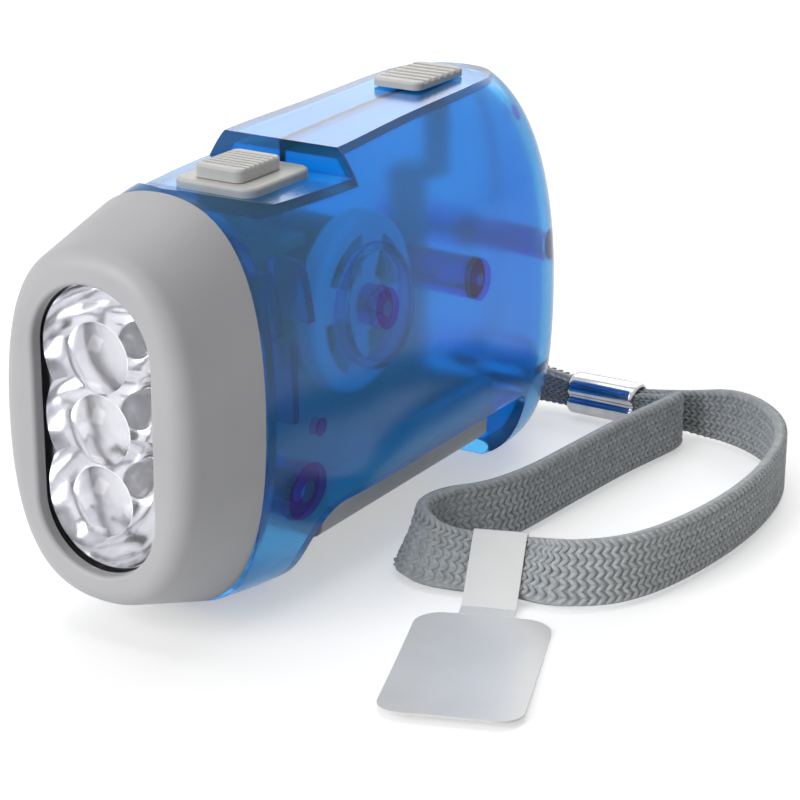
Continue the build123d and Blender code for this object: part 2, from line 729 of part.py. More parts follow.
with BuildPart() as squeeze_lever:
    # side view of the channel, rounded up at its rear end
    with BuildSketch(Plane.XZ):
        with BuildLine():
            Polyline((lever_front_x, lever_bottom_z), (lever_front_x, lever_cheek_top),
                     (lever_rear_x + 3, lever_cheek_top), (lever_rear_x, lever_cheek_top - 3),
                     (lever_rear_x, lever_bottom_z + 4), (lever_rear_x + 4, lever_bottom_z), close=True)
        make_face()
    extrude(amount=lever_half_width, both=True)
    # rounded lower edges, and round corners at the rear seen from above
    with BuildSketch(Plane.YZ.offset(lever_rear_x)):
        with Locations((0, lever_bottom_z + 15)):
            RectangleRounded(2 * lever_half_width, 30, 1.8)
    extrude(amount=lever_front_x - lever_rear_x, mode=Mode.INTERSECT)
    with BuildSketch(Plane.XY):
        with Locations((lever_rear_x + 40, 0)):
            RectangleRounded(80, 2 * lever_half_width, 4)
    extrude(amount=30, mode=Mode.INTERSECT)
    with BuildSketch(Plane.XZ):
        with BuildLine():
            Polyline((lever_front_x - lever_wall, floor_z), (lever_front_x - lever_wall, 30),
                     (lever_rear_x + lever_wall, 30), (lever_rear_x + lever_wall, floor_z), close=True)
        make_face()
    extrude(amount=lever_half_width - lever_wall, both=True, mode=Mode.SUBTRACT)
    # ears round the pin, joined to the channel's front wall
    with BuildSketch(Plane.XZ):
        with Locations((pivot_x, pivot_z)):
            Circle(pivot_ear_diameter / 2)
        with Locations((pivot_x - 6.4, pivot_z - 6.2)):
            Circle(2.4)
        with Locations((lever_front_x - 1, lever_cheek_top - 3.5)):
            Rectangle(1.6, 6)
        make_hull()
    extrude(amount=ear_half_width, both=True)
    with BuildSketch(Plane.XZ):
        with BuildLine():
            Polyline((lever_front_x, 0), (lever_front_x, 30), (40, 30), (40, 0), close=True)
        make_face()
    extrude(amount=ear_half_width - ear_thickness, both=True, mode=Mode.SUBTRACT)
    # arc-shaped rack on the right cheek, teeth towards the pivot
    with BuildSketch(gear_plane(pivot_x, pivot_z, rack_left_y)):
        Circle(rack_outer_radius)
        Circle(rack_pitch_radius - tooth_addendum * rack_module, mode=Mode.SUBTRACT)
        with BuildLine():
            Polyline((0, 0), (90 * math.cos(math.radians(rack_first_angle)),
                              90 * math.sin(math.radians(rack_first_angle))),
                     (-120, 90), (-120, -5), (90 * math.cos(math.radians(rack_last_angle)),
                                              90 * math.sin(math.radians(rack_last_angle))), close=True)
        make_face(mode=Mode.INTERSECT)
        tooth_step = 360 / rack_teeth
        spaces = int((rack_last_angle - 8 - rack_first_angle) / tooth_step)
        spaces_below = int((first_axle_angle - rack_first_angle) / tooth_step)
        first_space = first_axle_angle - tooth_step * spaces_below
        space_outline = tooth_outline(rack_teeth, rack_module, -tooth_backlash, tooth_dedendum + 0.1,
                                      tooth_addendum + 0.1)
        for space in range(spaces):
            with BuildLine():
                Polyline(*turned(space_outline, first_space + tooth_step * space), close=True)
            make_face(mode=Mode.SUBTRACT)
    extrude(amount=rack_thickness)
    # catch that the lock takes hold of
    with BuildSketch(Plane.XZ):
        with BuildLine():
            Polyline((catch_x, floor_z - 1), (catch_x, catch_top_z - catch_lip),
                     (nose_tip_x, catch_top_z - catch_lip), (nose_tip_x, catch_top_z),
                     (catch_x + catch_thickness, catch_top_z), (catch_x + catch_thickness, floor_z + 6),
                     (catch_x + 5 + catch_thickness, floor_z), (catch_x + 5 + catch_thickness, floor_z - 1),
                     close=True)
        make_face()
    extrude(amount=catch_width / 2, both=True)
    add(across(pivot_x, pivot_z, pivot_pin_diameter + 2 * pin_gap, -20, 20), mode=Mode.SUBTRACT)
save(squeeze_lever.part, "squeeze_lever")

pivot_pin = across(pivot_x, pivot_z, pivot_pin_diameter, -pivot_pin_reach, pivot_pin_reach)
save(pivot_pin, "pivot_pin")


def spring_coil():
    """The lever's torsion spring: one unbroken wire, wound close round the pin, with two straight legs."""
    mean_radius = pivot_pin_diameter / 2 + fit_gap + spring_wire / 2
    steps = 4 * spring_turns + 3

    def on_coil(step):
        angle = math.radians(90 - 90 * step)
        y = spring_pitch * (step / 4 - steps / 8)
        return pivot_x + mean_radius * math.cos(angle), y, pivot_z + mean_radius * math.sin(angle)

    with BuildPart() as coil:
        with BuildLine() as wire_line:
            start = on_coil(0)
            Line((start[0] - spring_rear_leg, start[1], start[2]), start)
            for step in range(steps):
                ThreePointArc(on_coil(step), on_coil(step + 0.5), on_coil(step + 1))
            end = on_coil(steps)
            Line(end, (end[0], end[1], end[2] + spring_front_leg))
        with BuildSketch(Plane(origin=wire_line.line @ 0, z_dir=wire_line.line % 0)):
            Circle(spring_wire / 2)
        sweep()
    print("lever spring: least gap between turns", round(spring_pitch - spring_wire, 2), "mm")
    return coil.part


lever_spring = spring_coil()
save(lever_spring, "lever_spring")

# ---------------------------------------------------------------- gear train


def compound_gear(name, x, z, wheel, pinion, wheel_y, pinion_y, bore):
    """A wheel and a pinion in one piece. Each is (teeth, module, phase), each y pair runs right to left."""
    with BuildPart() as gear:
        for teeth, (right_y, left_y) in ((wheel, wheel_y), (pinion, pinion_y)):
            with BuildSketch(gear_plane(x, z, left_y)):
                with BuildLine():
                    Polyline(*spur_gear(*teeth), close=True)
                make_face()
            extrude(amount=left_y - right_y)
        add(across(x, z, bore, -20, 20), mode=Mode.SUBTRACT)
    save(gear.part, name)
    return gear.part


first_gear = compound_gear(
    "first_gear", first_x, first_z,
    (first_wheel_teeth, first_module, first_to_second),
    (rack_pinion_teeth, rack_module, first_axle_angle),
    (first_wheel_right_y, first_wheel_left_y),
    (first_pinion_right_y, first_wheel_right_y), gear_bore + 2 * running_gap)
second_gear = compound_gear(
    "second_gear", second_x, second_z,
    (second_wheel_teeth, second_module, second_to_rotor),
    (second_pinion_teeth, first_module, first_to_second + 180 + 180 / second_pinion_teeth),
    (second_wheel_right_y, second_wheel_left_y),
    (second_pinion_right_y, second_wheel_right_y), gear_bore + 2 * running_gap)


def headed_axle(x, z, inner_y, name):
    """A fixed axle, pressed into the right shell, with a head that keeps its gear on."""
    with BuildPart() as axle:
        add(across(x, z, gear_bore, -axle_reach, inner_y + fit_gap))
        add(across(x, z, gear_bore + 1.4, inner_y + fit_gap, inner_y + fit_gap + 0.7))
    save(axle.part, name)
    return axle.part


first_axle = headed_axle(first_x, first_z, first_wheel_left_y, "first_axle")
second_axle = headed_axle(second_x, second_z, second_wheel_left_y, "second_axle")

with BuildPart() as rotor_pinion:
    with BuildSketch(gear_plane(flywheel_x, flywheel_z, rotor_pinion_left_y)):
        with BuildLine():
            rotor_phase = second_to_rotor + 180 + 180 / rotor_pinion_teeth
            Polyline(*spur_gear(rotor_pinion_teeth, second_module, rotor_phase), close=True)
        make_face()
    extrude(amount=rotor_pinion_left_y - rotor_pinion_right_y)
    add(across(flywheel_x, flywheel_z, axle_diameter, -20, 20), mode=Mode.SUBTRACT)
save(rotor_pinion.part, "rotor_pinion")

with BuildPart() as flywheel:
    with BuildSketch(gear_plane(flywheel_x, flywheel_z, flywheel_left_y)):
        Circle(flywheel_diameter / 2)
        Circle(flywheel_diameter / 2 - flywheel_rim, mode=Mode.SUBTRACT)
        Circle(4.2)
        paddle_end = flywheel_diameter / 2 - 1.5
        paddle = [(3, -1.5), (paddle_end, -2.9), (paddle_end, 2.9), (3, 1.5)]
        for place in range(4):
            with BuildLine():
                Polyline(*turned(paddle, spider_turn + 90 * place), close=True)
            make_face()
    extrude(amount=flywheel_thickness)
    rim_edges = flywheel.edges().filter_by(GeomType.CIRCLE).sort_by(SortBy.RADIUS)[-2:]
    fillet(rim_edges.sort_by(Axis.Y)[-1], 1.2)
    add(across(flywheel_x, flywheel_z, axle_diameter, -20, 20), mode=Mode.SUBTRACT)
save(flywheel.part, "flywheel")

magnet = across(flywheel_x, flywheel_z, magnet_diameter, magnet_right_y, magnet_right_y + magnet_length)
magnet_ring = magnet - across(flywheel_x, flywheel_z, axle_diameter, -20, 20)
save(magnet_ring, "magnet_ring")

rotor_axle = across(flywheel_x, flywheel_z, axle_diameter, -axle_reach, axle_reach)
save(rotor_axle, "rotor_axle")

# ---------------------------------------------------------------- generator: claw stator, bobbin and coil
claw_outer = coil_inner_diameter / 2 - bobbin_wall - 0.3
claw_inner = magnet_diameter / 2 + 0.5
claw_set_back = 0.15
with BuildPart() as stator:
    with BuildSketch(gear_plane(flywheel_x, flywheel_z, stator_left_y)):
        Circle(stator_diameter / 2)
        Circle(stator_diameter / 2 - stator_sheet, mode=Mode.SUBTRACT)
    extrude(amount=stator_length)
    for face_y in (stator_left_y, stator_right_y + stator_sheet):
        with BuildSketch(gear_plane(flywheel_x, flywheel_z, face_y)):
            Circle(stator_diameter / 2 - 0.3)
            Circle(claw_inner, mode=Mode.SUBTRACT)
        extrude(amount=stator_sheet)
    # six claws from each face, in between each other
    claw_length = stator_length - 1.6 * stator_sheet
    for turn, near_y in ((0, stator_left_y), (30, stator_right_y + claw_length)):
        with BuildSketch(gear_plane(flywheel_x, flywheel_z, near_y)):
            with PolarLocations((claw_outer + claw_inner + claw_set_back) / 2, 6, start_angle=turn):
                Rectangle(claw_outer - claw_inner - claw_set_back, claw_width)
        extrude(amount=claw_length)
save(stator.part, "stator")

bobbin_left_y = stator_left_y - stator_sheet - 0.1
bobbin_right_y = stator_right_y + stator_sheet + 0.1
with BuildPart() as coil_bobbin:
    with BuildSketch(Plane((flywheel_x, 0, flywheel_z), x_dir=(0, 1, 0), z_dir=(-1, 0, 0))):
        with BuildLine():
            inner = coil_inner_diameter / 2 - bobbin_wall
            flange = coil_outer_diameter / 2 + 0.2
            core = coil_inner_diameter / 2
            Polyline((bobbin_right_y, inner), (bobbin_left_y, inner), (bobbin_left_y, flange),
                     (bobbin_left_y - bobbin_wall, flange), (bobbin_left_y - bobbin_wall, core),
                     (bobbin_right_y + bobbin_wall, core), (bobbin_right_y + bobbin_wall, flange),
                     (bobbin_right_y, flange), close=True)
        make_face()
    revolve(axis=Axis((flywheel_x, 0, flywheel_z), (0, 1, 0)))
save(coil_bobbin.part, "coil_bobbin")

coil_winding = across(flywheel_x, flywheel_z, coil_outer_diameter, bobbin_right_y + bobbin_wall,
                      bobbin_left_y - bobbin_wall)
coil_winding = coil_winding - across(flywheel_x, flywheel_z, coil_inner_diameter, -20, 20)
save(coil_winding, "coil_winding")

# ---------------------------------------------------------------- switch, circuit board and cells
with BuildPart() as circuit_board:
    with BuildSketch(Plane.XY.offset(board_z)):
        with Locations(((board_front_x + board_rear_x) / 2, 0)):
            RectangleRounded(board_front_x - board_rear_x, 2 * board_half_width, 1)
    extrude(amount=board_thickness)
    for y in (-4.5, 0, 4.5):
        with BuildSketch(Plane.XY.offset(board_top_z)):
            with Locations((board_front_x - 3.5, y)):
                Rectangle(3.4, 1.8)
        extrude(amount=1.1)
save(circuit_board.part, "circuit_board")

with BuildPart() as slide_switch:
    with BuildSketch(Plane.XY.offset(board_top_z)):
        with Locations((button_x - button_travel / 2, 0)):
            Rectangle(switch_length, switch_width)
    extrude(amount=switch_top_z - board_top_z)
save(slide_switch.part, "slide_switch")

with BuildPart() as button_cells:
    for place in range(cell_count):
        left_y = cell_stack / 2 - place * cell_thickness
        add(across(cell_x, cell_z, cell_diameter, left_y, left_y - cell_thickness + 0.04))
save(button_cells.part, "button_cells")

with BuildPart() as switch_plate:
    with BuildSketch(Plane.XY.offset(saddle_floor_z)):
        with Locations((plate_x, 0)):
            RectangleRounded(plate_length, plate_width, 2.2)
    extrude(amount=plate_thickness)
    fillet(switch_plate.edges().group_by(Axis.Z)[-1], 0.5)
    slot_length = button_stem_length + button_travel + 2 * fit_gap
    with BuildSketch(Plane.XY.offset(saddle_floor_z)):
        with Locations((button_x - button_travel / 2, 0)):
            Rectangle(slot_length, button_stem_width + 2 * fit_gap)
    extrude(amount=plate_thickness, mode=Mode.SUBTRACT)
save(switch_plate.part, "switch_plate")


def ribbed_button(name, x, length, width, base_z, top_z, ribs, corner):
    """A slider cap with cross ribs on top. Returned unfinished, so that its stem can be added."""
    with BuildPart() as cap:
        with BuildSketch(Plane.XY.offset(base_z)):
            with Locations((x, 0)):
                RectangleRounded(length, width, corner)
        extrude(amount=top_z - base_z)
        fillet(cap.edges().group_by(Axis.Z)[-1], 0.4)
        step = (length - 2.4) / ribs
        with BuildSketch(Plane.XZ):
            for rib in range(ribs):
                with Locations((x - (length - 2.4) / 2 + step * (rib + 0.5), top_z)):
                    Rectangle(0.5 * step, 2 * rib_depth)
        extrude(amount=width, both=True, mode=Mode.SUBTRACT)
    return cap.part


with BuildPart() as light_button:
    add(ribbed_button("light_button", button_x, button_length, button_width, plate_top_z + 0.12,
                      button_top_z, button_ribs, 1.2))
    add(upright_box(button_x - button_stem_length / 2, button_x + button_stem_length / 2,
                    -button_stem_width / 2, button_stem_width / 2, switch_top_z + fit_gap,
                    plate_top_z + 0.2))
    add(upright_box(button_x - button_stem_length / 2 - 1.5, button_x + button_stem_length / 2 + 1.5,
                    -button_stem_width / 2 - 1.5, button_stem_width / 2 + 1.5,
                    switch_top_z + fit_gap, saddle_wall_z - fit_gap))
save(light_button.part, "light_button")

lock_flange_top = strip_rear_z - 0.4 - wall - fit_gap
lock_foot_top = catch_top_z - catch_lip - fit_gap
lock_foot_bottom = lock_foot_top - lock_foot_thickness
with BuildPart() as lock_slider:
    add(ribbed_button("lock_slider", lock_x, lock_length, lock_width, lock_base_z,
                      lock_base_z + lock_height, lock_ribs, 1.4))
    add(upright_box(lock_stem_rear_x, lock_stem_front_x, -lock_stem_width / 2, lock_stem_width / 2,
                    lock_foot_bottom, lock_base_z + 0.2))
    add(upright_box(lock_stem_front_x - 0.1, lock_foot_x, -lock_stem_width / 2, lock_stem_width / 2,
                    lock_foot_bottom, lock_foot_top))
    add(upright_box(lock_stem_rear_x - 1.5, lock_stem_front_x + 4, -lock_stem_width / 2 - 1.6,
                    lock_stem_width / 2 + 1.6, lock_flange_top - 0.8, lock_flange_top))
save(lock_slider.part, "lock_slider")

# ---------------------------------------------------------------- screws and the strap's pin
with BuildPart() as case_screws:
    for x, z, size in screws:
        add(across(x, z, screw_diameter - 0.3, screw_seat_y + screw_length, screw_seat_y))
        add(across(x, z, screw_head_diameter, screw_seat_y, screw_seat_y - 1.6)
            - upright_box(x - 0.35, x + 0.35, screw_seat_y - 2, screw_seat_y - 0.8, z - 1.5, z + 1.5)
            - upright_box(x - 1.5, x + 1.5, screw_seat_y - 2, screw_seat_y - 0.8, z - 0.35, z + 0.35))
save(case_screws.part, "case_screws")

with BuildPart() as strap_pin:
    with BuildSketch(Plane.XY.offset(strap_pin_bottom)):
        with Locations((strap_pin_x, 0)):
            Circle(strap_pin_diameter / 2)
    extrude(amount=strap_pin_top - strap_pin_bottom)
save(strap_pin.part, "strap_pin")

# ---------------------------------------------------------------- strap, crimp and tag
stem_route = [(strap_pin_x - strap_pin_diameter / 2 - fit_gap, 0), (-50.5, 0.1), (-54.3, 1.7),
              (crimp_x, 6.2), (crimp_x, crimp_start_y)]
loop_route = [(crimp_x + 1.1, crimp_end_y), (crimp_x + 1.1, 29.8), (-52.3, 33.6), (-46.3, 33.0),
              (-36.7, 31.0), (-22.7, 29.6), (-10.7, 27.6), (-3.3, 23.6), (2.9, 19.4), (9.5, 20.4),
              (11.9, 26.6), (8.9, 33.4), (5.9, 40.4), (7.5, 47.8), (1.9, 53.8), (-10.7, 56.8),
              (-26.7, 57.6), (-41.7, 55.4), (-52.3, 49.4), (-57.7, 40.6), (crimp_x - 1.1, 32.0),
              (crimp_x - 1.1, crimp_end_y)]


def route_radii(points):
    """The arc at each corner: 0.45 of the shorter run over the tangent of half the turn."""
    radii = []
    for before, corner, after in zip(points, points[1:], points[2:]):
        run_in = Vector(*corner) - Vector(*before)
        run_out = Vector(*after) - Vector(*corner)
        half_turn = math.radians(run_in.get_angle(run_out)) / 2
        radii.append(0.45 * min(run_in.length, run_out.length) / math.tan(half_turn))
    return radii


def strap_band(name, points, bottom_z, width, thickness):
    """A strap standing on edge along a route of straight runs joined by tangent arcs."""
    radii = route_radii(points)
    print(name, "radii", [round(radius, 1) for radius in radii])
    with BuildPart() as band:
        with BuildSketch(Plane.XY.offset(bottom_z)):
            with BuildLine() as path:
                FilletPolyline(*points, radius=radii)
            length = sum(edge.length for edge in path.edges())
            trace(path.edges(), line_width=thickness)
        extrude(amount=width)
    print(name, "length", round(length, 1), "volume", round(band.part.volume, 1),
          "section times length", round(width * thickness * length, 1))
    save(band.part, name)
    return band.part


strap_stem = strap_band("strap_stem", stem_route, strap_slot_bottom + fit_gap, stem_width,
                        2 * strap_thickness)
strap_loop = strap_band("strap_loop", loop_route, strap_floor_gap, strap_width, strap_thickness)

with BuildPart() as strap_crimp:
    with BuildSketch(Plane.XZ.offset(-crimp_start_y)):
        with Locations((crimp_x, strap_floor_gap + crimp_diameter / 2)):
            Circle(crimp_diameter / 2)
    extrude(amount=crimp_start_y - crimp_end_y)
    fillet(strap_crimp.edges(), 0.5)
save(strap_crimp.part, "strap_crimp")

tag_turn = math.radians(tag_angle)
tag_along = (math.cos(tag_turn), math.sin(tag_turn), 0)
tag_aside = (math.sin(tag_turn), -math.cos(tag_turn), 0)
with BuildPart() as hang_tag:
    # flat label on the floor, with its narrow neck
    with BuildSketch(Plane(origin=(tag_x, tag_y, tag_floor_gap), x_dir=tag_along, z_dir=(0, 0, 1))):
        with Locations((tag_neck_length + tag_length / 2, 0)):
            RectangleRounded(tag_length, tag_width, tag_corner)
        with Locations((tag_neck_length / 2 + 1, 0)):
            Rectangle(tag_neck_length + 2, tag_neck_width)
    extrude(amount=tag_thickness)
    # the neck goes round the strap
    loop_half = strap_thickness / 2 + fit_gap
    with BuildSketch(Plane(origin=(tag_x, tag_y, tag_floor_gap), x_dir=tag_along, z_dir=tag_aside)):
        loop_top = strap_floor_gap + strap_width + 0.1
        with BuildLine():
            Polyline((-loop_half - tag_thickness, 0), (loop_half + tag_thickness, 0),
                     (loop_half + tag_thickness, loop_top + tag_thickness),
                     (-loop_half - tag_thickness, loop_top + tag_thickness), close=True)
        make_face()
        with BuildLine():
            Polyline((-loop_half, tag_thickness), (loop_half, tag_thickness), (loop_half, loop_top),
                     (-loop_half, loop_top), close=True)
        make_face(mode=Mode.SUBTRACT)
    extrude(amount=tag_neck_width / 2, both=True)
save(hang_tag.part, "hang_tag")
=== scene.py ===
# %% [markdown]
# # A squeeze-lever torch with a translucent blue body
#
# This lesson dresses a hand-powered torch. Its pieces already have their real size and place in a
# frame, so this script gives them their finish: a translucent moulded body, a satin grey head, a clear
# window over a bright reflector, and a braided strap with a paper tag.
# The frame is in metres, with X to the lamps, Y to the torch's left and Z up. Sizes that are written
# here in millimetres are turned into metres by MM.

# %% Load the frame
import math

import bmesh
import bpy
from mathutils import Matrix, Vector


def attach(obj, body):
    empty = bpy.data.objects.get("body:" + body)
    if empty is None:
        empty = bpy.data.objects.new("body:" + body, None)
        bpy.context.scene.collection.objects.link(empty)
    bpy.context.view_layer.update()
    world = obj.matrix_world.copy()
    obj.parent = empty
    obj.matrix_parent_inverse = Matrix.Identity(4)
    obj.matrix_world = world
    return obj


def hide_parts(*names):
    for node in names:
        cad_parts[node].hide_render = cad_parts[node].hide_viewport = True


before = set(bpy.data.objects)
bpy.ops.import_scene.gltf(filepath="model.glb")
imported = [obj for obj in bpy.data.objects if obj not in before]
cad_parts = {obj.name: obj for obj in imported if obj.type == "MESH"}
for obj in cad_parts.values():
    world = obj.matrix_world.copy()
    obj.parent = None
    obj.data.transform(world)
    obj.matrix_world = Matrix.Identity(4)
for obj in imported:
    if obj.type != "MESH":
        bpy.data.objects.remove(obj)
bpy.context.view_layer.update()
MM = 0.001

# %% [markdown]
# ## The camera
#
# The photograph was taken from in front of the lamps, to the torch's left and a little above it.
# A long lens is typical of a product photograph, and it sits close enough to keep some perspective.
# The camera is placed by a point that it stands at and a point that it looks at, with a tiny roll.

# %% Camera
CAMERA_AT = Vector((282.73, 185.21, 140.94)) * MM
LOOK_AT = Vector((-6.0, 10.3, 17.9)) * MM
CAMERA_ROLL = 0.0055
LENS_MM = 112.5
SENSOR_MM = 36


def place_camera():
    data = bpy.data.cameras.new("photo_camera")
    data.lens = LENS_MM
    data.sensor_width = SENSOR_MM
    data.sensor_fit = "HORIZONTAL"
    data.clip_start, data.clip_end = 0.01, 20
    camera = bpy.data.objects.new("photo_camera", data)
    bpy.context.scene.collection.objects.link(camera)
    aim = (LOOK_AT - CAMERA_AT).to_track_quat("-Z", "Y").to_matrix().to_4x4()
    camera.matrix_world = Matrix.Translation(CAMERA_AT) @ aim @ Matrix.Rotation(CAMERA_ROLL, 4, "Z")
    bpy.context.scene.camera = camera
    return camera


camera = place_camera()
print("camera", [round(value, 3) for value in camera.location], "lens", LENS_MM)

# %% [markdown]
# ## Helpers for materials
#
# Every finish here starts from the Principled shader. Numbers that are the same all over a surface are
# set straight on its sockets, and only what varies, such as mottling or a fine bump, comes from nodes.
# Patterns read Object coordinates, which stay put when a piece moves, and one unit is a metre, so a
# pattern's scale is written as features for each metre.


# %% Material helpers
def new_material(name, color, **sockets):
    """A node material with the Principled shader and its plain values."""
    material = bpy.data.materials.new(name)
    material.use_nodes = True
    shader = material.node_tree.nodes["Principled BSDF"]
    shader.inputs["Base Color"].default_value = (*color, 1)
    for socket, value in sockets.items():
        shader.inputs[socket.replace("_", " ")].default_value = value
    return material


def noise_node(material, per_metre, detail=2.0):
    """A noise with so many features for each metre, in the piece's own coordinates."""
    nodes, links = material.node_tree.nodes, material.node_tree.links
    place = nodes.new("ShaderNodeTexCoord")
    noise = nodes.new("ShaderNodeTexNoise")
    noise.inputs["Scale"].default_value = per_metre
    noise.inputs["Detail"].default_value = detail
    links.new(place.outputs["Object"], noise.inputs["Vector"])
    return noise


def mottle(material, per_metre, dark, light, low=0.35, high=0.65):
    """The colour wanders between dark and light."""
    nodes, links = material.node_tree.nodes, material.node_tree.links
    noise = noise_node(material, per_metre)
    ramp = nodes.new("ShaderNodeValToRGB")
    ramp.color_ramp.elements[0].position = low
    ramp.color_ramp.elements[0].color = (*dark, 1)
    ramp.color_ramp.elements[1].position = high
    ramp.color_ramp.elements[1].color = (*light, 1)
    links.new(noise.outputs["Fac"], ramp.inputs["Fac"])
    links.new(ramp.outputs["Color"], nodes["Principled BSDF"].inputs["Base Color"])
    return ramp


def fine_bump(material, per_metre, depth):
    """A fine bump, such as the spark-eroded grain of a mould. Depth is in metres."""
    nodes, links = material.node_tree.nodes, material.node_tree.links
    noise = noise_node(material, per_metre, detail=3.0)
    bump = nodes.new("ShaderNodeBump")
    bump.inputs["Distance"].default_value = depth
    bump.inputs["Strength"].default_value = 1.0
    links.new(noise.outputs["Fac"], bump.inputs["Height"])
    links.new(bump.outputs["Normal"], nodes["Principled BSDF"].inputs["Normal"])


def rough_range(material, per_metre, low, high):
    """The roughness wanders between two values."""
    nodes, links = material.node_tree.nodes, material.node_tree.links
    noise = noise_node(material, per_metre)
    span = nodes.new("ShaderNodeMapRange")
    span.inputs["To Min"].default_value = low
    span.inputs["To Max"].default_value = high
    links.new(noise.outputs["Fac"], span.inputs["Value"])
    links.new(span.outputs["Result"], nodes["Principled BSDF"].inputs["Roughness"])


def dress(material, *names):
    """Gives a finish to CAD nodes."""
    for name in names:
        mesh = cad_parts[name].data
        mesh.materials.clear()
        mesh.materials.append(material)


# %% [markdown]
# ## The translucent body
#
# The two half shells are moulded in tinted clear plastic. Light goes through them twice, so the tint is
# written light. The surface is a little rough, which is why what touches the wall shows sharply and
# what lies deeper is only a shadow. The dye looks deeper, nearly violet, where a boss or a socket makes
# the wall thick, and rings round the bosses' axes give that. Along crisp edges a deeper violet is
# painted shade, which the Bevel node finds, because its normal turns near an edge.

# %% Body
# x and z of each thick place, and its ring's inner and outer radius, all in millimetres
THICK_PLACES = [
    (-17.7, 34.0, 1.0, 3.1),    # rear screw
    (-41.3, 33.0, 0.9, 2.4),    # end screw
    (-37.2, 54.0, 0.0, 1.1),    # mark near the lock
    (26.3, 16.0, 1.5, 4.1),     # lever's pivot
    (23.9, 24.5, 0.0, 1.3),     # mark over the pivot
    (7.5, 36.5, 1.1, 2.9),      # rotor's axle
]
AZURE_DARK, AZURE_LIGHT = (0.035, 0.43, 0.88), (0.06, 0.52, 0.94)
# the second colour is painted shade, a deeper violet along the crisp edges
DEEP_DYE, EDGE_SHADE_VIOLET = (0.10, 0.05, 0.55), (0.13, 0.10, 0.62)
EDGE_REACH = 0.55 * MM
# cosine between the bevelled and the true normal, where the painted edge shade starts and where it is
# full
EDGE_STARTS, EDGE_FULL = 0.99, 0.90


def ring_mask(material, x, z, inner, outer):
    """1 inside a ring round an axis that runs across the body, and 0 elsewhere. Sizes in millimetres."""
    tree = material.node_tree
    place = tree.nodes.new("ShaderNodeTexCoord").outputs["Object"]
    split = tree.nodes.new("ShaderNodeSeparateXYZ")
    tree.links.new(place, split.inputs[0])
    flat = tree.nodes.new("ShaderNodeCombineXYZ")
    tree.links.new(split.outputs["X"], flat.inputs["X"])
    tree.links.new(split.outputs["Z"], flat.inputs["Z"])
    reach = tree.nodes.new("ShaderNodeVectorMath")
    reach.operation = "DISTANCE"
    tree.links.new(flat.outputs[0], reach.inputs[0])
    reach.inputs[1].default_value = (x * MM, 0, z * MM)
    band = tree.nodes.new("ShaderNodeMath")
    band.operation = "COMPARE"
    tree.links.new(reach.outputs["Value"], band.inputs[0])
    band.inputs[1].default_value = 0.5 * (inner + outer) * MM
    band.inputs[2].default_value = 0.5 * (outer - inner) * MM
    return band.outputs[0]


def deepen(material, ramp, places, color):
    """Where the plastic is thick, the colour turns to the deep one."""
    tree = material.node_tree
    mask = None
    for place in places:
        ring = ring_mask(material, *place)
        if mask is None:
            mask = ring
            continue
        either = tree.nodes.new("ShaderNodeMath")
        either.operation = "MAXIMUM"
        tree.links.new(mask, either.inputs[0])
        tree.links.new(ring, either.inputs[1])
        mask = either.outputs[0]
    mix = tree.nodes.new("ShaderNodeMix")
    mix.data_type = "RGBA"
    tree.links.new(mask, mix.inputs["Factor"])
    tree.links.new(ramp.outputs["Color"], mix.inputs[6])
    mix.inputs[7].default_value = (*color, 1)
    tree.links.new(mix.outputs[2], tree.nodes["Principled BSDF"].inputs["Base Color"])


def paint_edge_shade(material, reach, color):
    """Paints shade along crisp edges as a deeper violet. The Bevel node's normal turns there, and so
    finds them.
    """
    tree = material.node_tree
    shader = tree.nodes["Principled BSDF"]
    plain = shader.inputs["Base Color"].links[0].from_socket
    bevel = tree.nodes.new("ShaderNodeBevel")
    bevel.samples = 4
    bevel.inputs["Radius"].default_value = reach
    along = tree.nodes.new("ShaderNodeVectorMath")
    along.operation = "DOT_PRODUCT"
    tree.links.new(bevel.outputs["Normal"], along.inputs[0])
    tree.links.new(tree.nodes.new("ShaderNodeNewGeometry").outputs["Normal"], along.inputs[1])
    edge = tree.nodes.new("ShaderNodeMapRange")
    edge.inputs["From Min"].default_value = EDGE_STARTS
    edge.inputs["From Max"].default_value = EDGE_FULL
    tree.links.new(along.outputs["Value"], edge.inputs["Value"])
    mix = tree.nodes.new("ShaderNodeMix")
    mix.data_type = "RGBA"
    tree.links.new(edge.outputs["Result"], mix.inputs["Factor"])
    tree.links.new(plain, mix.inputs[6])
    mix.inputs[7].default_value = (*color, 1)
    tree.links.new(mix.outputs[2], shader.inputs["Base Color"])


shell_blue = new_material("shell_blue", (0.05, 0.46, 0.90), Roughness=0.16, Transmission_Weight=0.88,
                          IOR=1.35, Specular_IOR_Level=0.35)
azure = mottle(shell_blue, 22, AZURE_DARK, AZURE_LIGHT)
deepen(shell_blue, azure, THICK_PLACES, DEEP_DYE)
# painted shade: a deeper violet along the shell's crisp edges
paint_edge_shade(shell_blue, EDGE_REACH, EDGE_SHADE_VIOLET)
rough_range(shell_blue, 40, 0.12, 0.2)
fine_bump(shell_blue, 3000, 0.01 * MM)
dress(shell_blue, "shell_left", "shell_right")
print("body finish", shell_blue.name, "with", len(THICK_PLACES), "thick places")

# %% [markdown]
# ## The grey mouldings
#
# The head, the sliders and the lever are satin grey plastic. A spark-eroded mould leaves a fine even
# grain on it, which breaks up the highlights, so a small bump and a wandering roughness do the work.

# %% Grey mouldings
head_grey = new_material("head_grey", (0.49, 0.49, 0.505), Roughness=0.42, Specular_IOR_Level=0.45)
mottle(head_grey, 60, (0.47, 0.47, 0.485), (0.51, 0.51, 0.525))
fine_bump(head_grey, 5200, 0.012 * MM)
dress(head_grey, "head_bezel")

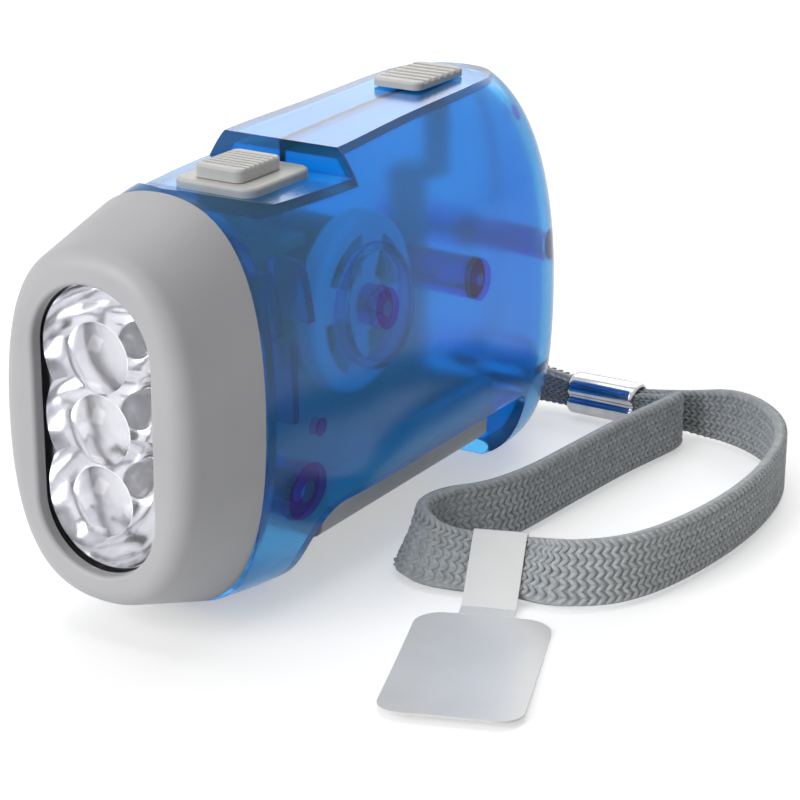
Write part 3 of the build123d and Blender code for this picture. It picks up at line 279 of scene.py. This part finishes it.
slider_grey = new_material("slider_grey", (0.58, 0.57, 0.55), Roughness=0.45)
mottle(slider_grey, 80, (0.56, 0.55, 0.53), (0.61, 0.60, 0.58))
fine_bump(slider_grey, 6000, 0.01 * MM)
dress(slider_grey, "switch_plate", "light_button", "lock_slider", "squeeze_lever")
print("grey finishes", head_grey.name, slider_grey.name)

# %% [markdown]
# ## Window, reflector and lamps
#
# The window is clear polycarbonate with three bulging lenses. Behind it the reflector is moulded with
# three cups and metallised, so it is a mirror with faint waviness, and each lamp is a clear dome. The
# solids of window and reflector share a plane. Rays that leave the glass there start inside the
# reflector and turn black, so a copy of the window has its back face moved forward by a hair.

# %% Window and lamps
WINDOW_GAP = 0.05 * MM
SAME_PLACE = 1e-6              # metres within which two vertices are one
CRISP_ANGLE = math.radians(30)
window_clear = new_material("window_clear", (0.97, 0.97, 1.0), Roughness=0.02, Transmission_Weight=1.0,
                            IOR=1.38)
rough_range(window_clear, 90, 0.01, 0.04)


def seated_window():
    """A copy of the window whose back face stands a hair off the reflector."""
    build = bmesh.new()
    build.from_mesh(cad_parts["lens_window"].data)
    bmesh.ops.remove_doubles(build, verts=build.verts, dist=SAME_PLACE)
    back = min(vertex.co.x for vertex in build.verts)
    for vertex in build.verts:
        if vertex.co.x < back + 0.5 * WINDOW_GAP:
            vertex.co.x += WINDOW_GAP
    for face in build.faces:
        face.smooth = True
    for edge in build.edges:
        if len(edge.link_faces) == 2 and edge.calc_face_angle(0) > CRISP_ANGLE:
            edge.smooth = False
    data = bpy.data.meshes.new("window_seated")
    build.to_mesh(data)
    build.free()
    data.materials.clear()
    data.materials.append(window_clear)
    piece = bpy.data.objects.new("window_seated", data)
    bpy.context.scene.collection.objects.link(piece)
    return piece


window = seated_window()
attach(window, "housing")
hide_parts("lens_window")

reflector_silver = new_material("reflector_silver", (0.86, 0.86, 0.88), Roughness=0.12, Metallic=1.0)
mottle(reflector_silver, 200, (0.80, 0.80, 0.82), (0.92, 0.92, 0.93))
fine_bump(reflector_silver, 900, 0.01 * MM)
dress(reflector_silver, "reflector")

lamp_clear = new_material("lamp_clear", (0.96, 0.97, 1.0), Roughness=0.05, Transmission_Weight=0.7,
                          IOR=1.5)
mottle(lamp_clear, 150, (0.93, 0.94, 0.98), (1.0, 1.0, 1.0))
dress(lamp_clear, "lamp_top", "lamp_middle", "lamp_bottom")

board_green = new_material("board_green", (0.03, 0.16, 0.07), Roughness=0.35)
mottle(board_green, 120, (0.02, 0.13, 0.06), (0.04, 0.20, 0.09))
dress(board_green, "lamp_board", "circuit_board")
print("window vertices", len(window.data.vertices))

# %% [markdown]
# ## Metal and inner pieces
#
# Apart from the screws' heads, these pieces are seen through the blue wall, so each has a plain finish
# that reads well through it. The gears and the bobbin are natural nylon. The flywheel is nearly white,
# because it shows as a pale ring, and the magnet and the stator are dark. Pins, axles, screws, the
# button cells and the switch are bright steel, and the winding is copper.

# %% Inner pieces
steel = new_material("steel", (0.56, 0.56, 0.58), Roughness=0.3, Metallic=1.0)
mottle(steel, 300, (0.50, 0.50, 0.52), (0.62, 0.62, 0.63))
rough_range(steel, 500, 0.22, 0.4)
dress(steel, "slide_switch", "button_cells", "case_screws", "strap_pin", "pivot_pin", "lever_spring",
      "first_axle", "second_axle", "rotor_axle")

stator_steel = new_material("stator_steel", (0.10, 0.10, 0.11), Roughness=0.5, Metallic=0.6)
mottle(stator_steel, 300, (0.08, 0.08, 0.09), (0.13, 0.13, 0.14))
dress(stator_steel, "stator")

gear_white = new_material("gear_white", (0.62, 0.62, 0.60), Roughness=0.5)
mottle(gear_white, 150, (0.58, 0.58, 0.56), (0.66, 0.66, 0.64))
dress(gear_white, "first_gear", "second_gear", "rotor_pinion", "coil_bobbin")

flywheel_pale = new_material("flywheel_pale", (0.80, 0.92, 0.96), Roughness=0.45)
mottle(flywheel_pale, 120, (0.76, 0.88, 0.93), (0.85, 0.95, 0.98))
dress(flywheel_pale, "flywheel")

magnet_dark = new_material("magnet_dark", (0.03, 0.03, 0.032), Roughness=0.6)
mottle(magnet_dark, 400, (0.025, 0.025, 0.027), (0.045, 0.045, 0.05))
dress(magnet_dark, "magnet_ring")

copper = new_material("copper", (0.62, 0.24, 0.10), Roughness=0.3, Metallic=1.0)
mottle(copper, 600, (0.5, 0.18, 0.07), (0.70, 0.30, 0.14))
dress(copper, "coil_winding")
print("copper winding and", len(bpy.data.materials), "materials in the file")

# %% [markdown]
# ## The wrist strap
#
# The strap is a flat braided tape, gathered into a metal crimp. It stands on its edge over most of its
# length and leans over where the tag hangs. Its route is a smooth NURBS line, and its control points lie
# near the solid's: within half a millimetre over most of the loop, and up to 3.4 mm away where the tag
# hangs, because there they were fitted to the photograph. A curve carries more than its place: the tilt
# of each point turns the tape, and its radius narrows it, so the gathered ends and the leaning bend need
# no modelling by hand.

# %% Strap route
CRIMP_X, CRIMP_Z = -57.4, 3.9
LOOP_ROUTE = [(-56.3, 24.0), (-56.3, 29.8), (-52.3, 33.4), (-46.3, 32.6), (-36.7, 31.0), (-22.7, 29.8),
              (-10.7, 28.8), (-3.3, 26.6), (1.9, 22.4), (8.5, 20.6), (12.4, 25.0), (10.4, 32.0),
              (8.2, 38.4), (10.0, 45.6), (3.9, 53.0), (-10.7, 56.6), (-26.7, 57.4), (-41.7, 55.0),
              (-52.3, 49.4), (-57.7, 40.6), (-58.5, 32.0), (-58.5, 24.0)]
STEM_ROUTE = [(-47.2, 0.0), (-50.5, 0.1), (-54.3, 1.7), (-57.4, 6.2), (-57.4, 12.0)]
STRAP_WIDTH, STRAP_THICK = 9.2, 1.2
FLOOR_GAP = 0.5                # between the floor and the tape's core, for the stitches
# how far the tape leans at some of the loop's points, in radians
LEAN = {7: -0.25, 8: -0.1, 9: 0.3, 10: 0.75, 11: 0.98, 12: 0.95, 13: 0.45, 14: 0.1}
# share of the tape's width at the crimp, and at the loop's points beside it
GATHER, AFTER_CRIMP, BEFORE_CRIMP = 0.5, 0.7, 0.75
STEM_HEIGHTS = [6.4, 6.2, 5.4, 4.4, CRIMP_Z]
STEM_SHARES = [0.7, 0.7, 0.66, 0.6, GATHER]


def tape_height(lean, share):
    """Height of the tape's middle line when its lower edge rests on the floor."""
    return FLOOR_GAP + 0.5 * STRAP_WIDTH * share * math.cos(lean) + 0.5 * STRAP_THICK * math.sin(lean)


def route_curve(name, points, heights, leans, shares):
    """A NURBS curve with the given control points, each with its height, lean and share of the width."""
    data = bpy.data.curves.new(name, "CURVE")
    data.dimensions = "3D"
    data.twist_mode = "Z_UP"
    data.resolution_u = 16
    spline = data.splines.new("NURBS")
    spline.points.add(len(points) - 1)
    for point, (x, y), height, lean, share in zip(spline.points, points, heights, leans, shares):
        point.co = (x * MM, y * MM, height * MM, 1)
        point.tilt = -lean
        point.radius = share
    spline.order_u = 3
    spline.use_endpoint_u = True
    curve = bpy.data.objects.new(name, data)
    bpy.context.scene.collection.objects.link(curve)
    return curve


def line_points(curve):
    """The points that the curve runs through, read before anything is built on it."""
    mesh = bpy.data.meshes.new_from_object(curve.evaluated_get(bpy.context.evaluated_depsgraph_get()))
    points = [vertex.co.copy() for vertex in mesh.vertices]
    bpy.data.meshes.remove(mesh)
    return points


last = len(LOOP_ROUTE) - 1
gathered = {0: GATHER, 1: AFTER_CRIMP, last - 1: BEFORE_CRIMP, last: GATHER}
loop_shares = [gathered.get(place, 1.0) for place in range(last + 1)]
loop_leans = [LEAN.get(place, 0.0) for place in range(last + 1)]
loop_heights = [tape_height(lean, share) for lean, share in zip(loop_leans, loop_shares)]
loop_heights[0] = loop_heights[last] = CRIMP_Z
loop_curve = route_curve("loop_route", LOOP_ROUTE, loop_heights, loop_leans, loop_shares)
stem_curve = route_curve("stem_route", STEM_ROUTE, STEM_HEIGHTS, [0.0] * len(STEM_ROUTE), STEM_SHARES)
loop_line = line_points(loop_curve)

# %% [markdown]
# ## The braid, with Geometry Nodes
#
# A braided tape shows rows of short slanted stitches that lean left and right by turns, so that every
# two rows make a line of V shapes. Geometry Nodes suit this, because one stitch is repeated over three
# thousand times along a path. The tree resamples the curve, sweeps a thin core along it, sets one
# course of stitches on each sample, and turns the courses by the curve's tangent and normal, so that
# they follow each bend.


# %% Braid tree
ROWS_SHARE, CORE_SHARE = 0.93, 0.97   # of the tape's width
STITCH_FILL = 0.8                     # of one row


def add_node(tree, kind, inputs=None, **settings):
    """A node with its settings, and with its inputs set to values or linked to other nodes' outputs."""
    node = tree.nodes.new(kind)
    for name, value in settings.items():
        setattr(node, name, value)
    for name, value in (inputs or {}).items():
        if isinstance(value, bpy.types.NodeSocket):
            tree.links.new(value, node.inputs[name])
        else:
            node.inputs[name].default_value = value
    return node


def geometry_tree(name, sizes):
    """An empty geometry tree with named number inputs, and its group input and output nodes."""
    tree = bpy.data.node_groups.new(name, "GeometryNodeTree")
    tree.interface.new_socket("Geometry", in_out="INPUT", socket_type="NodeSocketGeometry")
    tree.interface.new_socket("Geometry", in_out="OUTPUT", socket_type="NodeSocketGeometry")
    for label, kind in sizes:
        tree.interface.new_socket(label, in_out="INPUT", socket_type=kind)
    return tree, tree.nodes.new("NodeGroupInput"), tree.nodes.new("NodeGroupOutput")


def math_node(tree, operation, first, second):
    return add_node(tree, "ShaderNodeMath", {0: first, 1: second}, operation=operation).outputs[0]


def vector_node(tree, x, y, z):
    return add_node(tree, "ShaderNodeCombineXYZ", {"X": x, "Y": y, "Z": z}).outputs[0]


def braid_tree():
    tree, given, result = geometry_tree("braided_tape", (
        ("Width", "NodeSocketFloat"), ("Thickness", "NodeSocketFloat"), ("Rows", "NodeSocketInt"),
        ("Course Step", "NodeSocketFloat"), ("Stitch Length", "NodeSocketFloat"),
        ("Stitch Height", "NodeSocketFloat"), ("Lean", "NodeSocketFloat"),
        ("Material", "NodeSocketMaterial")))
    size = given.outputs
    rows_width = math_node(tree, "MULTIPLY", size["Width"], ROWS_SHARE)
    row_step = math_node(tree, "DIVIDE", rows_width, size["Rows"])
    samples = add_node(tree, "GeometryNodeResampleCurve",
                       {"Curve": size["Geometry"], "Length": size["Course Step"]}, mode="LENGTH")
    radius = add_node(tree, "GeometryNodeInputRadius").outputs[0]
    # core of the tape
    core_height = math_node(tree, "MULTIPLY", size["Width"], CORE_SHARE)
    profile = add_node(tree, "GeometryNodeCurvePrimitiveQuadrilateral",
                       {"Width": size["Thickness"], "Height": core_height})
    core = add_node(tree, "GeometryNodeCurveToMesh", {
        "Curve": samples.outputs[0], "Profile Curve": profile.outputs[0],
        "Scale": radius, "Fill Caps": True})
    # one stitch, and one row of stitches across the tape
    ball = add_node(tree, "GeometryNodeMeshUVSphere", {"Segments": 6, "Rings": 4, "Radius": 0.5})
    stitch = add_node(tree, "GeometryNodeTransform", {
        "Geometry": ball.outputs[0],
        "Scale": vector_node(tree, size["Stitch Length"], size["Stitch Height"],
                             math_node(tree, "MULTIPLY", row_step, STITCH_FILL))})
    gaps = math_node(tree, "SUBTRACT", size["Rows"], 1.0)
    lowest = math_node(tree, "MULTIPLY", gaps, math_node(tree, "MULTIPLY", row_step, -0.5))
    across = add_node(tree, "GeometryNodeMeshLine", {
        "Count": size["Rows"], "Offset": vector_node(tree, 0.0, 0.0, row_step),
        "Start Location": vector_node(
            tree, 0.0, math_node(tree, "MULTIPLY", size["Thickness"], 0.5), lowest)})
    odd = math_node(tree, "MODULO", add_node(tree, "GeometryNodeInputIndex").outputs[0], 2.0)
    swing = math_node(tree, "MULTIPLY", math_node(tree, "SUBTRACT", odd, 0.5), 2.0)
    face = add_node(tree, "GeometryNodeInstanceOnPoints", {
        "Points": across.outputs[0], "Instance": stitch.outputs[0],
        "Rotation": vector_node(tree, 0.0, math_node(tree, "MULTIPLY", swing, size["Lean"]), 0.0)})
    back = add_node(tree, "GeometryNodeTransform", {
        "Geometry": face.outputs[0], "Rotation": (0, 0, math.pi)})
    course = add_node(tree, "GeometryNodeJoinGeometry")
    tree.links.new(back.outputs[0], course.inputs[0])
    tree.links.new(face.outputs[0], course.inputs[0])
    # the courses along the curve
    turn = add_node(tree, "FunctionNodeAxesToRotation", {
        "Primary Axis": add_node(tree, "GeometryNodeInputTangent").outputs[0],
        "Secondary Axis": add_node(tree, "GeometryNodeInputNormal").outputs[0]},
        primary_axis="X", secondary_axis="Y")
    courses = add_node(tree, "GeometryNodeInstanceOnPoints", {
        "Points": samples.outputs[0], "Instance": course.outputs[0], "Rotation": turn.outputs[0],
        "Scale": vector_node(tree, 1.0, 1.0, radius)})
    whole = add_node(tree, "GeometryNodeJoinGeometry")
    tree.links.new(courses.outputs[0], whole.inputs[0])
    tree.links.new(core.outputs[0], whole.inputs[0])
    real = add_node(tree, "GeometryNodeRealizeInstances", {"Geometry": whole.outputs[0]})
    smooth = add_node(tree, "GeometryNodeSetShadeSmooth", {"Geometry": real.outputs[0]})
    dressed = add_node(tree, "GeometryNodeSetMaterial", {
        "Geometry": smooth.outputs[0], "Material": size["Material"]})
    tree.links.new(dressed.outputs[0], result.inputs["Geometry"])
    return tree


def grow(curve, tree, name, values):
    """Runs a tree on a curve object, and turns the result into a plain mesh object."""
    modifier = curve.modifiers.new(name, "NODES")
    modifier.node_group = tree
    for item in tree.interface.items_tree:
        if item.in_out == "INPUT" and item.name in values:
            modifier[item.identifier] = values[item.name]
    mesh = bpy.data.meshes.new_from_object(curve.evaluated_get(bpy.context.evaluated_depsgraph_get()))
    mesh.name = name
    piece = bpy.data.objects.new(name, mesh)
    bpy.context.scene.collection.objects.link(piece)
    bpy.data.objects.remove(curve)
    return piece


# %% [markdown]
# ## The strap's yarn
#
# The yarn is grey polyester. It is rough and a little furry, so it gets a high roughness and some sheen,
# and the colour changes slightly from place to place, as it does in a cheap braid. The stem holds both
# ends of the loop, so it is thicker.

# %% Strap
STEM_THICK = 2.6
strap_grey = new_material("strap_grey", (0.48, 0.50, 0.51), Roughness=0.85, Sheen_Weight=0.2,
                          Sheen_Roughness=0.5)
mottle(strap_grey, 900, (0.42, 0.44, 0.45), (0.54, 0.56, 0.57))
fine_bump(strap_grey, 7000, 0.03 * MM)
tape = braid_tree()
braid = {"Width": STRAP_WIDTH * MM, "Thickness": STRAP_THICK * MM, "Rows": 10,
         "Course Step": 1.15 * MM, "Stitch Length": 2.0 * MM, "Stitch Height": 0.8 * MM,
         "Lean": math.radians(36), "Material": strap_grey}
strap_loop = grow(loop_curve, tape, "strap_loop_braid", braid)
strap_stem = grow(stem_curve, tape, "strap_stem_braid", {**braid, "Thickness": STEM_THICK * MM})
for strap, node in ((strap_loop, "strap_loop"), (strap_stem, "strap_stem")):
    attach(strap, "housing")
    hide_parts(node)
print("strap faces", len(strap_loop.data.polygons), len(strap_stem.data.polygons))

# %% [markdown]
# ## The crimp
#
# A short steel tube is pressed round the gathered ends of the strap and chrome plated. Its section is a
# rounded oblong with a groove along the middle of each upright side, and its lips are turned in a
# little. It is made as rings of points along the tube, since each ring is the same curve, drawn in by
# another inset.

# %% Crimp
CRIMP_FROM_Y, CRIMP_TO_Y = 12.2, 23.8
SEAM_DEPTH, SEAM_HALF_HEIGHT = 0.28, 0.14
CRIMP_HALF = (2.9, 3.25)
# how far into the tube each ring lies, and its inset, in millimetres: the turned lip, then the wall
CRIMP_LIP = [(0.6, 0.9), (0.0, 0.55), (-0.1, 0.3), (0.25, 0.05), (0.9, 0.0)]


def mesh_object(name, points, faces, material, smooth=True):
    """An object from points in millimetres and faces, with its normals pointing outwards."""
    build = bmesh.new()
    corners = [build.verts.new(Vector(point) * MM) for point in points]
    for face in faces:
        build.faces.new([corners[corner] for corner in face]).smooth = smooth
    bmesh.ops.recalc_face_normals(build, faces=build.faces)
    data = bpy.data.meshes.new(name)
    build.to_mesh(data)
    build.free()
    data.materials.append(material)
    piece = bpy.data.objects.new(name, data)
    bpy.context.scene.collection.objects.link(piece)
    return piece


def oblong(inset, power=2.8, count=96):
    """A rounded oblong with the crimp's half sizes, drawn in by an inset, with the seam's groove."""
    ring = []
    for step in range(count):
        angle = 2 * math.pi * step / count
        x = math.copysign(abs(math.cos(angle)) ** (2 / power), math.cos(angle))
        z = math.copysign(abs(math.sin(angle)) ** (2 / power), math.sin(angle))
        x *= 1 - SEAM_DEPTH * math.exp(-(z / SEAM_HALF_HEIGHT) ** 2)
        ring.append((x * (CRIMP_HALF[0] - inset), z * (CRIMP_HALF[1] - inset)))
    return ring


def crimp_tube():
    """The tube's points and faces: rings along Y, joined by quads, with a face in each mouth."""
    near = [(CRIMP_FROM_Y + into, inset) for into, inset in CRIMP_LIP]
    far = [(CRIMP_FROM_Y + CRIMP_TO_Y - y, inset) for y, inset in reversed(near)]
    rings = near + far
    points = [(CRIMP_X + x, y, CRIMP_Z + z) for y, inset in rings for x, z in oblong(inset)]
    count = len(points) // len(rings)
    faces = []
    for ring in range(len(rings) - 1):
        for step in range(count):
            after = (step + 1) % count
            faces.append((ring * count + step, ring * count + after, (ring + 1) * count + after,
                          (ring + 1) * count + step))
    faces.append(tuple(range(count)))
    faces.append(tuple(range(len(points) - count, len(points))))
    return points, faces


crimp_chrome = new_material("crimp_chrome", (0.50, 0.50, 0.53), Roughness=0.12, Metallic=1.0)
mottle(crimp_chrome, 300, (0.46, 0.46, 0.49), (0.56, 0.56, 0.58))
fine_bump(crimp_chrome, 900, 0.006 * MM)
crimp = mesh_object("strap_crimp_tube", *crimp_tube(), crimp_chrome)
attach(crimp, "housing")
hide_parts("strap_crimp")
print("crimp points", len(crimp.data.vertices))

# %% [markdown]
# ## The hang tag
#
# The tag is one piece of plastic-coated paper: a label with round corners, and a narrow neck that is
# wrapped round the strap and stuck to itself. It is drawn as a strip of cross lines that follows a bent
# centre line, wide along the label and narrow round the strap, and Solidify gives it the sheet's
# thickness. The label's far end curls up a little and its sides sag.

# %% Tag
TAG_AT = Vector((9.8, 35.4, 0.0))
TAG_TURN = math.radians(20.5)
TAG_ALONG = Vector((math.cos(TAG_TURN), math.sin(TAG_TURN), 0))
TAG_ASIDE = Vector((math.sin(TAG_TURN), -math.cos(TAG_TURN), 0))
TAG_LENGTH, TAG_HALF_WIDTH, TAG_CORNER, NECK_HALF_WIDTH = 31.4, 9.2, 3.6, 3.7
NECK_END = 9.2
TAG_LEAN = 0.92                       # the strap's lean where the neck goes round it, in radians
TAG_HEIGHT, TAG_CURL, TAG_SAG = 0.4, 0.9, 0.25
SHEET_THICK = 0.3
NECK_LOWEST, TAG_LOWEST = 0.45, 0.2   # heights that nothing goes below
NECK_SPARE_WIDE, NECK_SPARE_THIN = 0.45, 0.75
CORNER_LINES, LABEL_LINES, LINE_PARTS = 8, 20, 12
STRAP_MIDDLE_Z = tape_height(TAG_LEAN, 1.0)


def neck_line():
    """The bent centre line of the neck: places along the tag and heights, round the leaning strap."""
    half_wide = STRAP_WIDTH / 2 + NECK_SPARE_WIDE
    half_thin = STRAP_THICK / 2 + NECK_SPARE_THIN
    corners = [(-half_wide, -half_thin), (half_wide, -half_thin),
               (half_wide, half_thin), (-half_wide, half_thin)]
    line = []
    for wide, thin in corners:
        along = -wide * math.sin(TAG_LEAN) + thin * math.cos(TAG_LEAN)
        height = STRAP_MIDDLE_Z + wide * math.cos(TAG_LEAN) + thin * math.sin(TAG_LEAN)
        line.append((along, max(height, NECK_LOWEST)))
    glued_end, glued_start = (2.0, 0.4), (NECK_END - 2.2, 0.5)
    return [glued_end] + line + [glued_start]


def rounded(line, cut=0.7, times=3):
    """Cuts the corners of a line, over and over, which rounds them."""
    for time in range(times):
        finer = [line[0]]
        for (s0, z0), (s1, z1) in zip(line, line[1:]):
            share = min(cut / max(math.hypot(s1 - s0, z1 - z0), 1e-6), 0.25) if time == 0 else 0.25
            finer.append((s0 + (s1 - s0) * share, z0 + (z1 - z0) * share))
            finer.append((s1 - (s1 - s0) * share, z1 - (z1 - z0) * share))
        finer.append(line[-1])
        line = finer
    return line


def half_width_at(place):
    """The label's half width at a place along it, with its round corners and the neck's fillet."""
    into, left = place - NECK_END, NECK_END + TAG_LENGTH - place
    if into < 0:
        return NECK_HALF_WIDTH
    nearest = min(into, left)
    if nearest >= TAG_CORNER:
        return TAG_HALF_WIDTH
    drop = TAG_CORNER - math.sqrt(max(TAG_CORNER**2 - (TAG_CORNER - nearest) ** 2, 0))
    return TAG_HALF_WIDTH - drop


def tag_sheet():
    """The tag's points and faces: cross lines, each a place along it, a height and a half width."""
    lines = [(s, z, NECK_HALF_WIDTH) for s, z in rounded(neck_line())]
    turns = [math.pi / 2 * step / CORNER_LINES for step in range(CORNER_LINES + 1)]
    straight = TAG_LENGTH - 2 * TAG_CORNER
    places = [NECK_END + TAG_CORNER * (1 - math.cos(turn)) for turn in turns]
    places += [NECK_END + TAG_CORNER + straight * step / LABEL_LINES
               for step in range(1, LABEL_LINES + 1)]
    places += [NECK_END + TAG_LENGTH - TAG_CORNER * (1 - math.cos(turn)) for turn in turns[-2::-1]]
    lines.append((NECK_END - 0.05, 0.42, NECK_HALF_WIDTH))
    for place in places:
        bend = (place - NECK_END) / TAG_LENGTH
        lines.append((place, TAG_HEIGHT + TAG_CURL * bend**2, half_width_at(place)))
    points, faces = [], []
    for s, z, half_width in lines:
        for step in range(LINE_PARTS + 1):
            side = (2 * step / LINE_PARTS - 1) * half_width
            sag = 0.0 if half_width <= NECK_HALF_WIDTH else -TAG_SAG * (side / TAG_HALF_WIDTH) ** 2
            height = Vector((0, 0, max(z + sag, TAG_LOWEST)))
            points.append(TAG_AT + TAG_ALONG * s + TAG_ASIDE * side + height)
    for line in range(len(lines) - 1):
        for step in range(LINE_PARTS):
            corner = line * (LINE_PARTS + 1) + step
            faces.append((corner, corner + 1, corner + LINE_PARTS + 2, corner + LINE_PARTS + 1))
    return points, faces


tag_paper = new_material("tag_paper", (0.80, 0.80, 0.78), Roughness=0.35, Coat_Weight=0.3,
                         Coat_Roughness=0.2)
mottle(tag_paper, 90, (0.78, 0.78, 0.76), (0.83, 0.83, 0.82))
fine_bump(tag_paper, 1500, 0.02 * MM)
tag = mesh_object("hang_tag_paper", *tag_sheet(), tag_paper, smooth=False)
solidify = tag.modifiers.new("sheet", "SOLIDIFY")
solidify.thickness = SHEET_THICK * MM
solidify.offset = 0.0
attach(tag, "housing")
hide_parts("hang_tag")
print("tag points", len(tag.data.vertices))

# %% [markdown]

# %% [markdown]
# ## Floor and light
#
# The torch stands on white paper under large soft lamps, as for a product photograph. The lamps light
# the object at a plain level, and a little emission that only camera, mirror and glass rays see lifts
# the paper to white, so the soft shadow stays and the object isn't washed out.


# %% Floor and light
FLOOR_HALF = 3000.0            # millimetres
FLOOR_LIFT, AMBIENT = 0.42, 0.24
LAMPS_AIM_AT = Vector((0, 0.01, 0.03))


def seen_directly(tree):
    """1 for rays from the camera, from mirrors and through glass, and 0 for the light on the object."""
    path = tree.nodes.new("ShaderNodeLightPath")
    either = math_node(tree, "MAXIMUM", path.outputs["Is Camera Ray"], path.outputs["Is Glossy Ray"])
    return math_node(tree, "MAXIMUM", either, path.outputs["Is Transmission Ray"])


def white_floor(lift):
    """White paper under the torch, which glows a little where it is seen directly."""
    half = FLOOR_HALF
    paper = new_material("floor_white", (0.86, 0.86, 0.86), Roughness=0.6)
    shader = paper.node_tree.nodes["Principled BSDF"]
    shader.inputs["Emission Color"].default_value = (1, 1, 1, 1)
    strength = math_node(paper.node_tree, "MULTIPLY", seen_directly(paper.node_tree), lift)
    paper.node_tree.links.new(strength, shader.inputs["Emission Strength"])
    corners = [(-half, -half, 0), (half, -half, 0), (half, half, 0), (-half, half, 0)]
    floor = mesh_object("floor", corners, [(0, 1, 2, 3)], paper, smooth=False)


def area_lamp(name, place, size, power):
    """A large soft lamp that faces the torch. Place and size are in metres, and power in watts."""
    data = bpy.data.lights.new(name, "AREA")
    data.shape = "RECTANGLE"
    data.size, data.size_y = size
    data.energy = power
    lamp = bpy.data.objects.new(name, data)
    bpy.context.scene.collection.objects.link(lamp)
    aim = (LAMPS_AIM_AT - Vector(place)).to_track_quat("-Z", "Y").to_matrix().to_4x4()
    lamp.matrix_world = Matrix.Translation(place) @ aim


def studio_world(ambient):
    """A white world: plain ambient light on the object, and full white where it is seen directly."""
    world = bpy.data.worlds.new("studio")
    bpy.context.scene.world = world
    world.use_nodes = True
    background = world.node_tree.nodes["Background"]
    background.inputs["Color"].default_value = (1, 1, 1, 1)
    extra = math_node(world.node_tree, "MULTIPLY", seen_directly(world.node_tree), 1.0 - ambient)
    strength = math_node(world.node_tree, "ADD", extra, ambient)
    world.node_tree.links.new(strength, background.inputs["Strength"])


white_floor(FLOOR_LIFT)
area_lamp("key", (0.90, -0.30, 0.45), (0.6, 0.6), 6.2)
area_lamp("top", (0.0, -0.1, 0.9), (0.6, 0.6), 1.9)
area_lamp("back", (-0.7, -0.2, 0.45), (0.7, 0.5), 1.8)
studio_world(AMBIENT)
print("lamps", len(bpy.data.lights))

# %% [markdown]
# ## Colour
#
# The Standard view transform keeps the colours as they are set here.

# %% Render settings
bpy.context.scene.view_settings.view_transform = "Standard"
